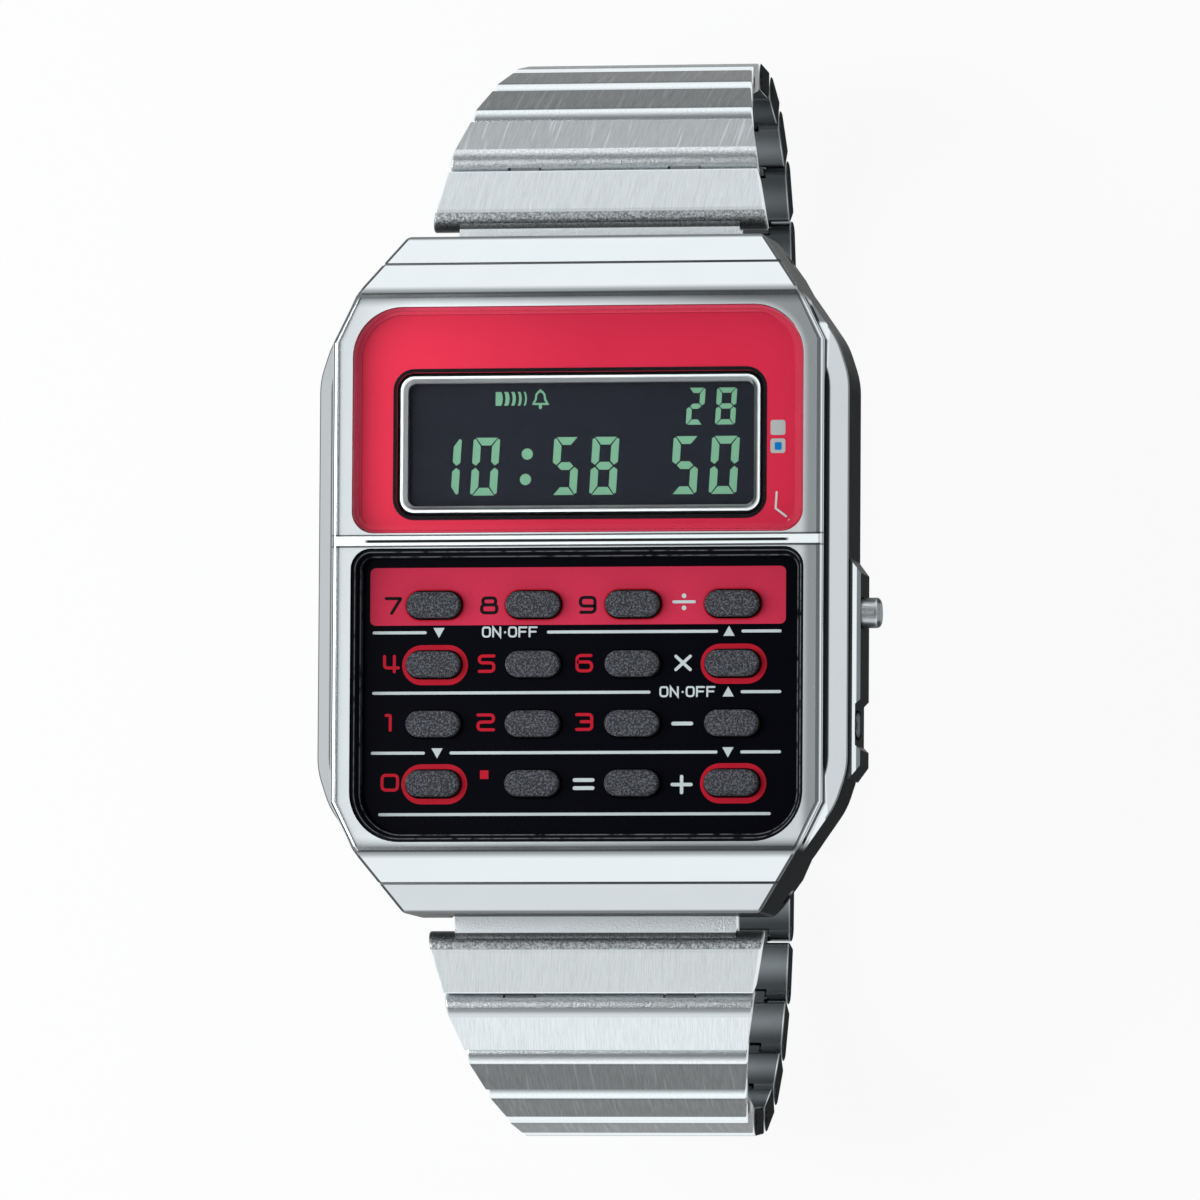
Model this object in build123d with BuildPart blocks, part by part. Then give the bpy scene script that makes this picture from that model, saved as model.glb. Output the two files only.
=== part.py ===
"""Calculator watch on a linked steel bracelet, closed, standing on its clasp.

Millimetres. +Z points out of the dial, +Y to twelve o'clock, +X to three o'clock.
The origin is the middle of the clasp's flat outer face.
"""
from build123d import *
from math import cos, radians, sin, sqrt
import os

os.makedirs("parts", exist_ok=True)

# Overrun of cuts, and the smallest gaps between neighbours
overrun = 1.0
seat_gap = 0.05
run_gap = 0.10
half_turn = 180
quarter_turn = 90
# How far a cut corner reaches as its outline grows by one
corner_share = 2 - sqrt(2)

# Case, in heights above the plane of the back cover
case_half_width = 17.0
case_half_length = 21.5
end_inset = 5.6
end_half_width = case_half_width - end_inset
diagonal_inset = 0.75
diagonal_end_x = case_half_width - diagonal_inset
diagonal_reach = 6.8
diagonal_end_y = case_half_length - diagonal_reach
corner_reach = 9.1
side_end_y = case_half_length - corner_reach
side_round = 5.0
end_corner_round = 0.45
side_low = 0.4
lug_low = -1.5
lug_reach = 3.6
lug_start_y = case_half_length - lug_reach
lug_foot_reach = 2.4
lug_low_y = case_half_length - lug_foot_reach
lug_tip_reach = 0.6
lug_end_y = case_half_length - lug_tip_reach
lug_end = -0.6
lug_width = 2.1
pocket_reach = 2.9
pocket_start_y = case_half_length - pocket_reach
pocket_top = 1.0
facet = 1.1
facet_top = 6.45

# Raised front of the case
crown_inset = 1.27
crown_half_width = case_half_width - crown_inset
crown_side_reach = 6.9
crown_side_y = case_half_length - crown_side_reach
shoulder_inset = 2.7
crown_shoulder_x = case_half_width - shoulder_inset
shoulder_reach = 4.0
crown_shoulder_y = case_half_length - shoulder_reach
crown_top = 7.9
crown_round = 0.3
slope_reach = 3.8
slope_rim = 0.3
slope_start_y = case_half_length - slope_reach
slope_end = 5.2
groove_reach = 1.85
groove_y = case_half_length - groove_reach
groove_width = 0.16
groove_depth = 0.3
frame_sink = 0.15
frame_rim = 0.42
rib_top_y = 2.3
rib_low_y = 1.62

# Window, display and keypad openings in the front
window_side_inset = 1.28
window_half_width = crown_half_width - window_side_inset
window_end_inset = 0.88
window_top_y = slope_start_y - window_end_inset
window_rib_gap = 0.15
window_low_y = rib_top_y + window_rib_gap
window_top_radius = 3.2
window_low_radius = 1.4
window_ledge = 6.25
window_bevel = 0.42
window_height = 8.2
window_land = 0.9
face_plate_thickness = 0.3
display_border_x = 5.4
display_hole_length = 2 * window_half_width - display_border_x
display_border_y = 5.27
display_hole_width = window_top_y - window_low_y - display_border_y
display_hole_radius = 1.1
display_frame_wall = 0.55
display_frame_height = 0.75
display_frame_bevel = 0.25
panel_margin_x = 0.75
panel_length = display_hole_length + 2 * panel_margin_x
panel_margin_y = 0.15
panel_width = display_hole_width + 2 * panel_margin_y
panel_thickness = 1.2
panel_top = 5.7
display_centre_y = window_low_y + window_land + run_gap + panel_width / 2

keypad_side_inset = 1.23
keypad_half_width = crown_half_width - keypad_side_inset
keypad_rib_gap = 0.12
keypad_top_y = rib_low_y - keypad_rib_gap
keypad_end_inset = 0.6
keypad_low_y = keypad_end_inset - slope_start_y
keypad_top_radius = 1.3
keypad_low_radius = 3.2
keypad_ledge = 5.35
keypad_land = 1.1
tray_floor = 0.85
tray_rim_height = 7.45
tray_step_height = 6.85
tray_step = 0.24

# Keys
key_names = (
    ("7", "8", "9", "divide"),
    ("4", "5", "6", "times"),
    ("1", "2", "3", "minus"),
    ("0", "point", "equals", "plus"),
)
key_left_margin = 5.14
key_right_margin = 4.72
key_top_margin = 3.52
key_low_margin = 3.755
key_first_x = key_left_margin - keypad_half_width
key_first_y = keypad_top_y - key_top_margin
key_steps = len(key_names) - 1
key_pitch_x = (2 * keypad_half_width - key_left_margin - key_right_margin) / key_steps
key_pitch_y = (keypad_top_y - keypad_low_y - key_top_margin - key_low_margin) / key_steps
key_length = 3.5
key_width = 1.68
key_top = 6.85
key_crown = 0.22
key_flange_extra = 0.22
key_travel = 0.35
key_clearance = 0.09

# Back cover, its gasket and screws
cover_side_inset = 1.8
cover_half_width = case_half_width - cover_side_inset
cover_end_inset = 3.9
cover_half_length = case_half_length - cover_end_inset
cover_corner = 2.4
cover_thickness = 0.8
cover_edge = 0.25
gasket_width = 0.6
gasket_height = 0.5
gasket_land = 0.25
gasket_side_margin = 0.35
gasket_end_margin = 0.15
screw_side_inset = 2.3
screw_x = cover_half_width - screw_side_inset
screw_end_inset = 2.2
screw_y = cover_half_length - screw_end_inset
screw_diameter = 1.4
screw_head_diameter = 2.3
screw_length = 3.6
screw_slot_width = 0.35
screw_slot_depth = 0.35

# Module in the case
cavity_half_width = cover_half_width - gasket_side_margin - gasket_width - gasket_land
cavity_half_length = cover_half_length - gasket_end_margin - gasket_width - gasket_land
cavity_corner = 5.0
cavity_top = 4.9
module_side_gap = 1.2
module_half_width = cavity_half_width - module_side_gap
module_end_gap = 0.7
module_half_length = cavity_half_length - module_end_gap
module_corner = 3.3
module_low = 1.3
module_wall = 0.6
module_wall_top = 4.5
post_top_inset = 0.25
module_post_top_y = window_low_y + window_land - post_top_inset
post_low_inset = 0.4
module_post_low_y = keypad_top_y - keypad_land + post_low_inset
boss_side_inset = 1.2
boss_x = module_half_width - boss_side_inset
boss_end_inset = 4.4
boss_y = module_half_length - boss_end_inset
boss_diameter = 2.0
battery_margin = 2.8
battery_diameter = 2 * (module_half_width - battery_margin)
battery_thickness = 1.6
battery_low = 1.6
battery_y = -1.0
clip_thickness = 0.2
clip_width = 4.0
clip_foot = 1.8
buzzer_inset = 2.0
buzzer_diameter = battery_diameter - 2 * buzzer_inset
buzzer_thickness = 0.25
board_low = 3.2
board_thickness = 0.6
mat_thickness = 0.4
mat_margin = 0.3
mat_top_y = keypad_top_y + run_gap
mat_low_y = module_wall + mat_margin - module_half_length
mat_corner = 2.6
dome_diameter = 1.7
dome_height = 0.3

# Side buttons and their guard
button_height = 3.5
button_place_shares = (-0.1992, -0.7726)
button_places = [share * side_end_y for share in button_place_shares]
guard_stand = 0.66
guard_face = case_half_width + guard_stand
button_stands = (1.17, -0.04)
button_ends = [guard_face + stand for stand in button_stands]
button_diameters = (1.94, 1.85)
button_head_depth = 0.4
button_head_back = case_half_width - button_head_depth
button_bore_depth = 1.4
button_bore_floor = case_half_width - button_bore_depth
stem_diameter = 1.2
retainer_thickness = 0.2
seal_wire = 0.34
guard_top_margin = 2.92
guard_top_y = button_places[0] + guard_top_margin
guard_low_margin = 3.02
guard_low_y = button_places[1] - guard_low_margin
guard_low = 0.9
guard_top = 5.0
guard_bevel = 0.45
scoop_radius = 2.6
scoop_depth = 0.3

# Bracelet: slope of each plate below the level of the dial, from the lug to the clasp
link_slopes = (23, 47, 62, 71, 81, 94, 114, 133, 151, 166, 178)
link_end_inset = 0.525
first_link_width = 2 * (end_half_width - link_end_inset)
link_width_shares = (1, 0.92, 0.841, 0.777, 0.722, 0.699, 0.699, 0.699, 0.699, 0.699, 0.699, 0.699)
link_widths = [share * first_link_width for share in link_width_shares]
link_pitch = 4.3
link_outer = 1.05
link_inner = 0.75
link_gap = 0.2
link_inner_round = 0.45
link_edge_round = 0.12
ear_edge_margin = 1.5
ear_out = min(link_widths) / 2 - ear_edge_margin
ear_width = 1.85
ear_in = ear_out - ear_width
ear_radius = 0.6
ear_side_gap = 0.13
hood_clear = 0.12
first_nose_inset = 0.25
pin_diameter = 0.8
pin_end_gap = 0.5
tongue_gap = 0.25
tongue_half_width = end_half_width - lug_width - tongue_gap
tongue_height = 1.4
spring_bar_reach = 1.3
spring_bar_y = case_half_length - spring_bar_reach
spring_bar_height = -0.6
spring_bar_diameter = 1.3
spring_bar_tip = 0.8
spring_bar_tip_inset = 1.0
lug_hole_diameter = 0.9
first_reach = 2.65
first_drop = 0.21

# Clasp, in heights above the surface that it stands on
clasp_floor = 0.95
clasp_pin_height = 1.95
fold_inset = 3.12
fold_height = 2.15
fold_radius = 0.75
fold_pin = 0.7
turn_inset = 3.62
turn_height = 1.6
turn_radius = 0.55
turn_pin = 0.6
leaf_thickness = 0.8
leaf_side_gap = 0.1
leaf_half_width = min(link_widths) / 2 - leaf_side_gap
inner_leaf_low = 2.25
middle_leaf_low = 1.25
clasp_barrel_gap = 0.15
clasp_barrel_half = ear_in - clasp_barrel_gap
fold_barrel_inset = 0.6
fold_barrel_half = clasp_barrel_half - fold_barrel_inset
cheek_gap = 0.2
cheek_in = min(link_widths) / 2 + cheek_gap
cheek_thickness = 0.65
cheek_out = cheek_in + cheek_thickness
cheek_top = 2.75
cheek_swing = 2.4
tongue_swing = 3.95
clasp_end_round = 1.2
clasp_edge_round = 0.4
clasp_barrel_radius = 0.75
clasp_bar_diameter = 0.9
adjust_hole_diameter = 0.5
adjust_hole_pitch = 2.0
adjust_hole_count = 4
adjust_hole_inset = 4.5

# The chain of hinge pins, first in heights above the back cover
first_y = spring_bar_y + first_reach
first_height = spring_bar_height - first_drop
chain = [(first_y, first_height)]
for slope in link_slopes:
    far_y = chain[-1][0] + link_pitch * cos(radians(slope))
    far_height = chain[-1][1] - link_pitch * sin(radians(slope))
    chain.append((far_y, far_height))
back_level = clasp_pin_height - chain[-1][1]
clasp_half_length = chain[-1][0]
fold_y = fold_inset - clasp_half_length
turn_y = clasp_half_length - turn_inset
adjust_hole_y = fold_y + adjust_hole_inset
print("back cover above the table", round(back_level, 4))
print("hinge pins", [(round(y, 4), round(back_level + h, 4)) for y, h in chain])


def level(height):
    """Plane of the dial at a height above the back cover."""
    return Plane.XY.offset(back_level + height)


def octagon(half_width, half_length, corner, grow=0):
    """Corner points of a rectangle with its corners cut off, grown evenly by an offset."""
    half_width = half_width + grow
    half_length = half_length + grow
    corner = corner + corner_share * grow
    return [
        (half_width, half_length - corner),
        (half_width - corner, half_length),
        (corner - half_width, half_length),
        (-half_width, half_length - corner),
        (-half_width, corner - half_length),
        (corner - half_width, -half_length),
        (half_width - corner, -half_length),
        (half_width, corner - half_length),
    ]


def four_ways(quarter):
    """Points of a closed outline from those of its upper right quarter."""
    right_up = list(quarter)
    left_up = [(-x, y) for x, y in reversed(right_up)]
    left_down = [(x, -y) for x, y in reversed(left_up)]
    right_down = [(-x, y) for x, y in reversed(left_down)]
    return right_up + left_up + left_down + right_down


def save(part, name):
    """Label a finished piece and write it."""
    part.label = name
    export_step(part, f"parts/{name}.step")


def rounded_field(half_width, top_y, low_y, top_radius, low_radius):
    """Rectangle with one radius for its top corners and one for its bottom corners."""
    with BuildSketch() as field:
        with Locations((0, (top_y + low_y) / 2)):
            Rectangle(2 * half_width, top_y - low_y)
        fillet(field.vertices().group_by(Axis.Y)[-1], top_radius)
        fillet(field.vertices().group_by(Axis.Y)[0], low_radius)
    return field.sketch


# Places of the keys
key_places = {
    name: (key_first_x + column * key_pitch_x, key_first_y - row * key_pitch_y)
    for row, names in enumerate(key_names)
    for column, name in enumerate(names)
}
side_places = [(y, back_level + button_height) for y in button_places]
screw_places = [(x, y) for x in (-screw_x, screw_x) for y in (-screw_y, screw_y)]

# Room above the sloping ends of the case
with BuildPart() as end_slopes:
    for way in (1, -1):
        with BuildSketch(Plane.YZ):
            with BuildLine():
                Polyline(
                    (way * slope_start_y, back_level + crown_top),
                    (way * case_half_length, back_level + slope_end),
                    (way * (case_half_length + overrun), back_level + slope_end),
                    (way * (case_half_length + overrun), back_level + crown_top + overrun),
                    (way * slope_start_y, back_level + crown_top + overrun),
                    close=True,
                )
            make_face()
        extrude(amount=case_half_width + overrun, both=True)

# Raised front, with its sloping ends
with BuildPart() as crown:
    with BuildSketch(level(lug_low)):
        with BuildLine():
            Polyline(
                *four_ways(
                    (
                        (crown_half_width, crown_side_y),
                        (crown_shoulder_x, crown_shoulder_y),
                        (end_half_width, case_half_length),
                    )
                ),
                close=True,
            )
        make_face()
    extrude(amount=crown_top - lug_low)
    add(end_slopes.part, mode=Mode.SUBTRACT)
    top_edges = faces().sort_by(Axis.Z)[-1].edges()
    fillet(top_edges, crown_round)

# Case
with BuildPart() as case:
    with BuildSketch(level(lug_low)):
        with BuildLine():
            Polyline(
                *four_ways(
                    (
                        (case_half_width, side_end_y),
                        (diagonal_end_x, diagonal_end_y),
                        (crown_shoulder_x, crown_shoulder_y),
                        (end_half_width, case_half_length),
                    )
                ),
                close=True,
            )
        make_face()
        side_corners = [v for v in vertices() if abs(v.X) > (crown_half_width + diagonal_end_x) / 2]
        fillet(side_corners, side_round)
    extrude(amount=facet_top - lug_low)
    chamfer(faces().sort_by(Axis.Z)[-1].edges(), facet)
    add(end_slopes.part, mode=Mode.SUBTRACT)
    add(crown.part)
    end_corners = [
        e for e in edges().filter_by(Axis.Z)
        if abs(e.center().Y) > case_half_length - seat_gap
    ]
    fillet(end_corners, end_corner_round)
    # Underside: sides above the back cover's face, lugs below it
    for way in (1, -1):
        with BuildSketch(Plane.YZ):
            with BuildLine():
                Polyline(
                    (0, back_level + side_low),
                    (way * lug_start_y, back_level + side_low),
                    (way * lug_low_y, back_level + lug_low),
                    (way * lug_end_y, back_level + lug_low),
                    (way * case_half_length, back_level + lug_end),
                    (way * (case_half_length + overrun), back_level + lug_low - overrun),
                    (0, back_level + lug_low - overrun),
                    close=True,
                )
            make_face()
        extrude(amount=case_half_width + overrun, both=True, mode=Mode.SUBTRACT)
    # Pocket for the bracelet's tongue at each end
    for way in (1, -1):
        with BuildSketch(Plane.YZ):
            with BuildLine():
                Polyline(
                    (way * pocket_start_y, back_level + lug_low - overrun),
                    (way * pocket_start_y, back_level + pocket_top),
                    (way * (case_half_length + overrun), back_level + pocket_top),
                    (way * (case_half_length + overrun), back_level + lug_low - overrun),
                    close=True,
                )
            make_face()
        extrude(amount=tongue_half_width + tongue_gap, both=True, mode=Mode.SUBTRACT)
    # Seam groove across each end
    for way in (1, -1):
        slope_share = (groove_y - slope_start_y) / (case_half_length - slope_start_y)
        groove_height = crown_top - slope_share * (crown_top - slope_end)
        with BuildSketch(Plane.YZ):
            with Locations((way * groove_y, back_level + groove_height)):
                Rectangle(groove_width, 2 * groove_depth)
        extrude(amount=case_half_width + overrun, both=True, mode=Mode.SUBTRACT)
    # Guard of the side buttons
    with BuildSketch(Plane.XY.offset(back_level + guard_low)):
        with BuildLine():
            Polyline(
                (case_half_width - facet, guard_top_y + guard_bevel),
                (case_half_width, guard_top_y + guard_bevel),
                (guard_face, guard_top_y - guard_bevel),
                (guard_face, guard_low_y + guard_bevel),
                (case_half_width, guard_low_y - guard_bevel),
                (case_half_width - facet, guard_low_y - guard_bevel),
                close=True,
            )
        make_face()
    extrude(amount=guard_top - guard_low)
    guard_edges = [
        e for e in edges()
        if abs(e.center().X - guard_face) < seat_gap and abs(e.center().Z - back_level - guard_top) < seat_gap
    ]
    chamfer(guard_edges, guard_bevel)
    # Satin fields, one above and one below the rib
    for way, near_y in ((1, rib_top_y), (-1, -rib_low_y)):
        with BuildSketch(level(crown_top - frame_sink)):
            with BuildLine():
                Polyline(
                    (crown_half_width - frame_rim, way * near_y),
                    (crown_half_width - frame_rim, way * crown_side_y),
                    (crown_shoulder_x - slope_rim, way * (slope_start_y - slope_rim)),
                    (slope_rim - crown_shoulder_x, way * (slope_start_y - slope_rim)),
                    (frame_rim - crown_half_width, way * crown_side_y),
                    (frame_rim - crown_half_width, way * near_y),
                    close=True,
                )
            make_face()
        extrude(amount=frame_sink + overrun, mode=Mode.SUBTRACT)
    # Seat of the window and its opening
    with BuildSketch(level(window_ledge)):
        add(
            rounded_field(
                window_half_width, window_top_y, window_low_y, window_top_radius, window_low_radius
            )
        )
    extrude(amount=crown_top, mode=Mode.SUBTRACT)
    with BuildSketch(level(cavity_top)):
        add(
            rounded_field(
                window_half_width - window_land,
                window_top_y - window_land,
                window_low_y + window_land,
                window_top_radius - window_land,
                window_low_radius - window_land / 2,
            )
        )
    extrude(amount=crown_top, mode=Mode.SUBTRACT)
    # Seat of the keypad and its opening
    with BuildSketch(level(keypad_ledge)):
        add(
            rounded_field(
                keypad_half_width, keypad_top_y, keypad_low_y, keypad_top_radius, keypad_low_radius
            )
        )
    extrude(amount=crown_top, mode=Mode.SUBTRACT)
    with BuildSketch(level(cavity_top)):
        add(
            rounded_field(
                keypad_half_width - keypad_land,
                keypad_top_y - keypad_land,
                keypad_low_y + keypad_land,
                keypad_top_radius - keypad_land / 2,
                keypad_low_radius - keypad_land,
            )
        )
    extrude(amount=crown_top, mode=Mode.SUBTRACT)
    # Cavity of the module, seat of the back cover, groove of the gasket
    with BuildSketch(level(cover_thickness - overrun)):
        with BuildLine():
            Polyline(*octagon(cavity_half_width, cavity_half_length, cavity_corner), close=True)
        make_face()
    extrude(amount=cavity_top + overrun - cover_thickness, mode=Mode.SUBTRACT)
    with BuildSketch(level(cover_thickness)):
        with BuildLine():
            Polyline(
                *octagon(cover_half_width, cover_half_length, cover_corner, seat_gap),
                close=True,
            )
        make_face()
    extrude(amount=lug_low - cover_thickness, mode=Mode.SUBTRACT)
    with BuildSketch(level(cover_thickness)):
        with BuildLine():
            Polyline(
                *octagon(
                    cavity_half_width,
                    cavity_half_length,
                    cavity_corner,
                    gasket_land + gasket_width,
                ),
                close=True,
            )
        make_face()
    extrude(amount=gasket_height, mode=Mode.SUBTRACT)
    with BuildSketch(level(cover_thickness)):
        with BuildLine():
            Polyline(
                *octagon(cavity_half_width, cavity_half_length, cavity_corner, gasket_land),
                close=True,
            )
        make_face()
        with BuildLine():
            Polyline(*octagon(cavity_half_width, cavity_half_length, cavity_corner), close=True)
        make_face(mode=Mode.SUBTRACT)
    extrude(amount=gasket_height)
    # Screw holes, lug holes and the bores of the side buttons
    with BuildSketch(level(cover_thickness)):
        with Locations(*screw_places):
            Circle(screw_diameter / 2)
    extrude(amount=screw_length, mode=Mode.SUBTRACT)
    with BuildSketch(Plane.YZ):
        with Locations(
            (spring_bar_y, back_level + spring_bar_height),
            (-spring_bar_y, back_level + spring_bar_height),
        ):
            Circle(lug_hole_diameter / 2)
    extrude(amount=case_half_width, both=True, mode=Mode.SUBTRACT)
    for (y, z), diameter in zip(side_places, button_diameters):
        with BuildSketch(Plane.YZ.offset(cavity_half_width - overrun)):
            with Locations((y, z)):
                Circle(stem_diameter / 2 + seat_gap)
        extrude(amount=button_bore_floor, mode=Mode.SUBTRACT)
        with BuildSketch(Plane.YZ.offset(button_bore_floor)):
            with Locations((y, z)):
                Circle(diameter / 2 + seat_gap)
        extrude(amount=button_bore_floor, mode=Mode.SUBTRACT)
    # Scoop round the flush button
    with BuildSketch(Plane.YZ.offset(guard_face - scoop_depth)):
        with Locations(side_places[1]):
            Rectangle(scoop_radius, 2 * scoop_radius)
    extrude(amount=scoop_depth + overrun, taper=-half_turn / 4, mode=Mode.SUBTRACT)
save(case.part, "case")

# Back cover
with BuildPart() as back_cover:
    with BuildSketch(level(0)):
        with BuildLine():
            Polyline(*octagon(cover_half_width, cover_half_length, cover_corner), close=True)
        make_face()
    extrude(amount=cover_thickness)
    chamfer(faces().sort_by(Axis.Z)[0].edges(), cover_edge)
    with BuildSketch(level(cover_thickness)):
        for hand in (1, -1):
            with Locations((hand * boss_x, boss_y), (hand * boss_x, -boss_y)):
                Circle(boss_diameter / 2)
    extrude(amount=module_low - cover_thickness)
    for x, y in screw_places:
        with Locations(Plane((x, y, back_level), z_dir=(0, 0, -1))):
            CounterSinkHole(
                screw_diameter / 2 + seat_gap,
                screw_head_diameter / 2 + seat_gap,
                depth=cover_thickness + overrun,
                counter_sink_angle=quarter_turn,
            )
save(back_cover.part, "back_cover")

# Screws of the back cover, slotted
with BuildPart() as back_screws:
    head_taper = (screw_head_diameter - screw_diameter) / 2
    for x, y in screw_places:
        with BuildSketch(Plane((x, y, back_level), x_dir=(1, 0, 0), z_dir=(0, -1, 0))):
            with BuildLine():
                Polyline(
                    (0, 0),
                    (screw_head_diameter / 2, 0),
                    (screw_diameter / 2 - seat_gap, head_taper + seat_gap),
                    (screw_diameter / 2 - seat_gap, screw_length),
                    (0, screw_length),
                    close=True,
                )
            make_face()
        revolve(axis=Axis((x, y, back_level), (0, 0, 1)))
    with BuildSketch(level(0)):
        with Locations(*screw_places):
            Rectangle(screw_head_diameter + overrun, screw_slot_width)
    extrude(amount=screw_slot_depth, mode=Mode.SUBTRACT)
save(back_screws.part, "back_screws")

# Gasket under the back cover
with BuildPart() as back_gasket:
    with BuildSketch(level(cover_thickness)):
        with BuildLine():
            Polyline(
                *octagon(
                    cavity_half_width,
                    cavity_half_length,
                    cavity_corner,
                    gasket_land + gasket_width - seat_gap,
                ),
                close=True,
            )
        make_face()
        with BuildLine():
            Polyline(
                *octagon(
                    cavity_half_width, cavity_half_length, cavity_corner, gasket_land + seat_gap
                ),
                close=True,
            )
        make_face(mode=Mode.SUBTRACT)
    extrude(amount=gasket_height - seat_gap)
save(back_gasket.part, "back_gasket")

# Window with its bevelled rim
with BuildPart() as window:
    with BuildSketch(level(window_ledge + face_plate_thickness)):
        add(
            rounded_field(
                window_half_width - seat_gap,
                window_top_y - seat_gap,
                window_low_y + seat_gap,
                window_top_radius,
                window_low_radius,
            )
        )
    extrude(amount=window_height - window_ledge - face_plate_thickness)
    chamfer(faces().sort_by(Axis.Z)[-1].edges(), window_bevel)
save(window.part, "window")

# Plate with the display's cut-out
with BuildPart() as face_plate:
    with BuildSketch(level(window_ledge)):
        add(
            rounded_field(
                window_half_width - seat_gap,
                window_top_y - seat_gap,
                window_low_y + seat_gap,
                window_top_radius,
                window_low_radius,
            )
        )
        with Locations((0, display_centre_y)):
            RectangleRounded(
                display_hole_length, display_hole_width, display_hole_radius, mode=Mode.SUBTRACT
            )
    extrude(amount=face_plate_thickness)
save(face_plate.part, "face_plate")

# Frame round the display
frame_outer_length = display_hole_length - 2 * run_gap
frame_outer_width = display_hole_width - 2 * run_gap
with BuildPart() as display_frame:
    with BuildSketch(level(panel_top)):
        with Locations((0, display_centre_y)):
            RectangleRounded(frame_outer_length, frame_outer_width, display_hole_radius)
            RectangleRounded(
                frame_outer_length - 2 * display_frame_wall,
                frame_outer_width - 2 * display_frame_wall,
                display_hole_radius / 2,
                mode=Mode.SUBTRACT,
            )
    extrude(amount=display_frame_height)
    frame_top = faces().sort_by(Axis.Z)[-1]
    chamfer(frame_top.inner_wires()[0].edges(), display_frame_bevel)
save(display_frame.part, "display_frame")

# Liquid crystal panel: glass over glass, the lower one with its contact ledge
panel_ledge = 0.6
with BuildPart() as display_panel:
    with BuildSketch(level(panel_top - panel_thickness)):
        with Locations((0, display_centre_y)):
            Rectangle(panel_length, panel_width)
    extrude(amount=panel_thickness / 2)
    with BuildSketch(level(panel_top - panel_thickness / 2)):
        with Locations((0, display_centre_y)):
            Rectangle(panel_length, panel_width - 2 * panel_ledge)
    extrude(amount=panel_thickness / 2)
save(display_panel.part, "display_panel")

# Keypad tray, stepped inside its rim
with BuildPart() as keypad_panel:
    tray_outer = keypad_half_width - seat_gap
    with BuildSketch(level(keypad_ledge)):
        add(
            rounded_field(
                tray_outer,
                keypad_top_y - seat_gap,
                keypad_low_y + seat_gap,
                keypad_top_radius,
                keypad_low_radius,
            )
        )
    extrude(amount=tray_rim_height - keypad_ledge)
    for count, floor in ((1, tray_step_height), (2, keypad_ledge + tray_floor)):
        with BuildSketch(level(floor)):
            add(
                rounded_field(
                    tray_outer - count * tray_step,
                    keypad_top_y - seat_gap - count * tray_step,
                    keypad_low_y + seat_gap + count * tray_step,
                    keypad_top_radius - count * tray_step,
                    keypad_low_radius - count * tray_step,
                )
            )
        extrude(amount=crown_top, mode=Mode.SUBTRACT)
    with BuildSketch(level(keypad_ledge)):
        with Locations(*key_places.values()):
            SlotOverall(key_length + 2 * key_clearance, key_width + 2 * key_clearance)
    extrude(amount=crown_top, mode=Mode.SUBTRACT)
save(keypad_panel.part, "keypad_panel")

# Keys, each with the flange that holds it under the tray
mat_top = board_low + board_thickness + mat_thickness
key_low = mat_top + dome_height + key_travel + seat_gap
for name, (x, y) in key_places.items():
    with BuildPart() as key:
        with BuildSketch(level(key_low)):
            with Locations((x, y)):
                SlotOverall(key_length + 2 * key_flange_extra, key_width + 2 * key_flange_extra)
        extrude(amount=keypad_ledge - key_low - seat_gap)
        with BuildSketch(level(key_low)):
            with Locations((x, y)):
                SlotOverall(key_length, key_width)
        extrude(amount=key_top - key_low)
        fillet(faces().sort_by(Axis.Z)[-1].edges(), key_crown)
    save(key.part, f"key_{name}")

# Rubber mat with a dome under each key
with BuildPart() as key_mat:
    with BuildSketch(level(board_low + board_thickness)):
        with Locations((0, (mat_top_y + mat_low_y) / 2)):
            Rectangle(2 * (module_half_width - module_wall - mat_margin), mat_top_y - mat_low_y)
        chamfer(vertices().group_by(Axis.Y)[0], mat_corner)
    extrude(amount=mat_thickness)
    with BuildSketch(level(mat_top)):
        with Locations(*key_places.values()):
            Circle(dome_diameter / 2)
    extrude(amount=dome_height, taper=half_turn / 6)
save(key_mat.part, "key_mat")

# Circuit board
with BuildPart() as circuit_board:
    with BuildSketch(level(board_low)):
        with BuildLine():
            Polyline(
                *octagon(
                    module_half_width, module_half_length, module_corner, -module_wall - seat_gap
                ),
                close=True,
            )
        make_face()
    extrude(amount=board_thickness)
save(circuit_board.part, "circuit_board")

# Module frame: floor with the battery's well, and a wall round the board
with BuildPart() as module_frame:
    with BuildSketch(level(module_low)):
        with BuildLine():
            Polyline(*octagon(module_half_width, module_half_length, module_corner), close=True)
        make_face()
    extrude(amount=module_wall_top - module_low)
    with BuildSketch(level(board_low)):
        with BuildLine():
            Polyline(
                *octagon(module_half_width, module_half_length, module_corner, -module_wall),
                close=True,
            )
        make_face()
    extrude(amount=module_wall_top, mode=Mode.SUBTRACT)
    with BuildSketch(level(module_low - overrun)):
        with Locations((0, battery_y)):
            Circle(battery_diameter / 2 + 2 * run_gap)
    extrude(amount=module_wall_top, mode=Mode.SUBTRACT)
    # Posts that meet the case between its two openings
    with BuildSketch(level(module_low)):
        for hand in (1, -1):
            with Locations(
                (
                    hand * (module_half_width - module_wall / 2),
                    (module_post_top_y + module_post_low_y) / 2,
                )
            ):
                Rectangle(module_wall, module_post_top_y - module_post_low_y)
    extrude(amount=cavity_top - module_low)
save(module_frame.part, "module_frame")

# Battery, with its insulating step
battery_step = 0.5
with BuildPart() as battery:
    with BuildSketch(level(battery_low)):
        with Locations((0, battery_y)):
            Circle(battery_diameter / 2)
    extrude(amount=battery_thickness - battery_step)
    with BuildSketch(level(battery_low)):
        with Locations((0, battery_y)):
            Circle(battery_diameter / 2 - battery_step)
    extrude(amount=battery_thickness)
    fillet(faces().sort_by(Axis.Z)[0].edges(), battery_step / 2)
save(battery.part, "battery")

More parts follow.
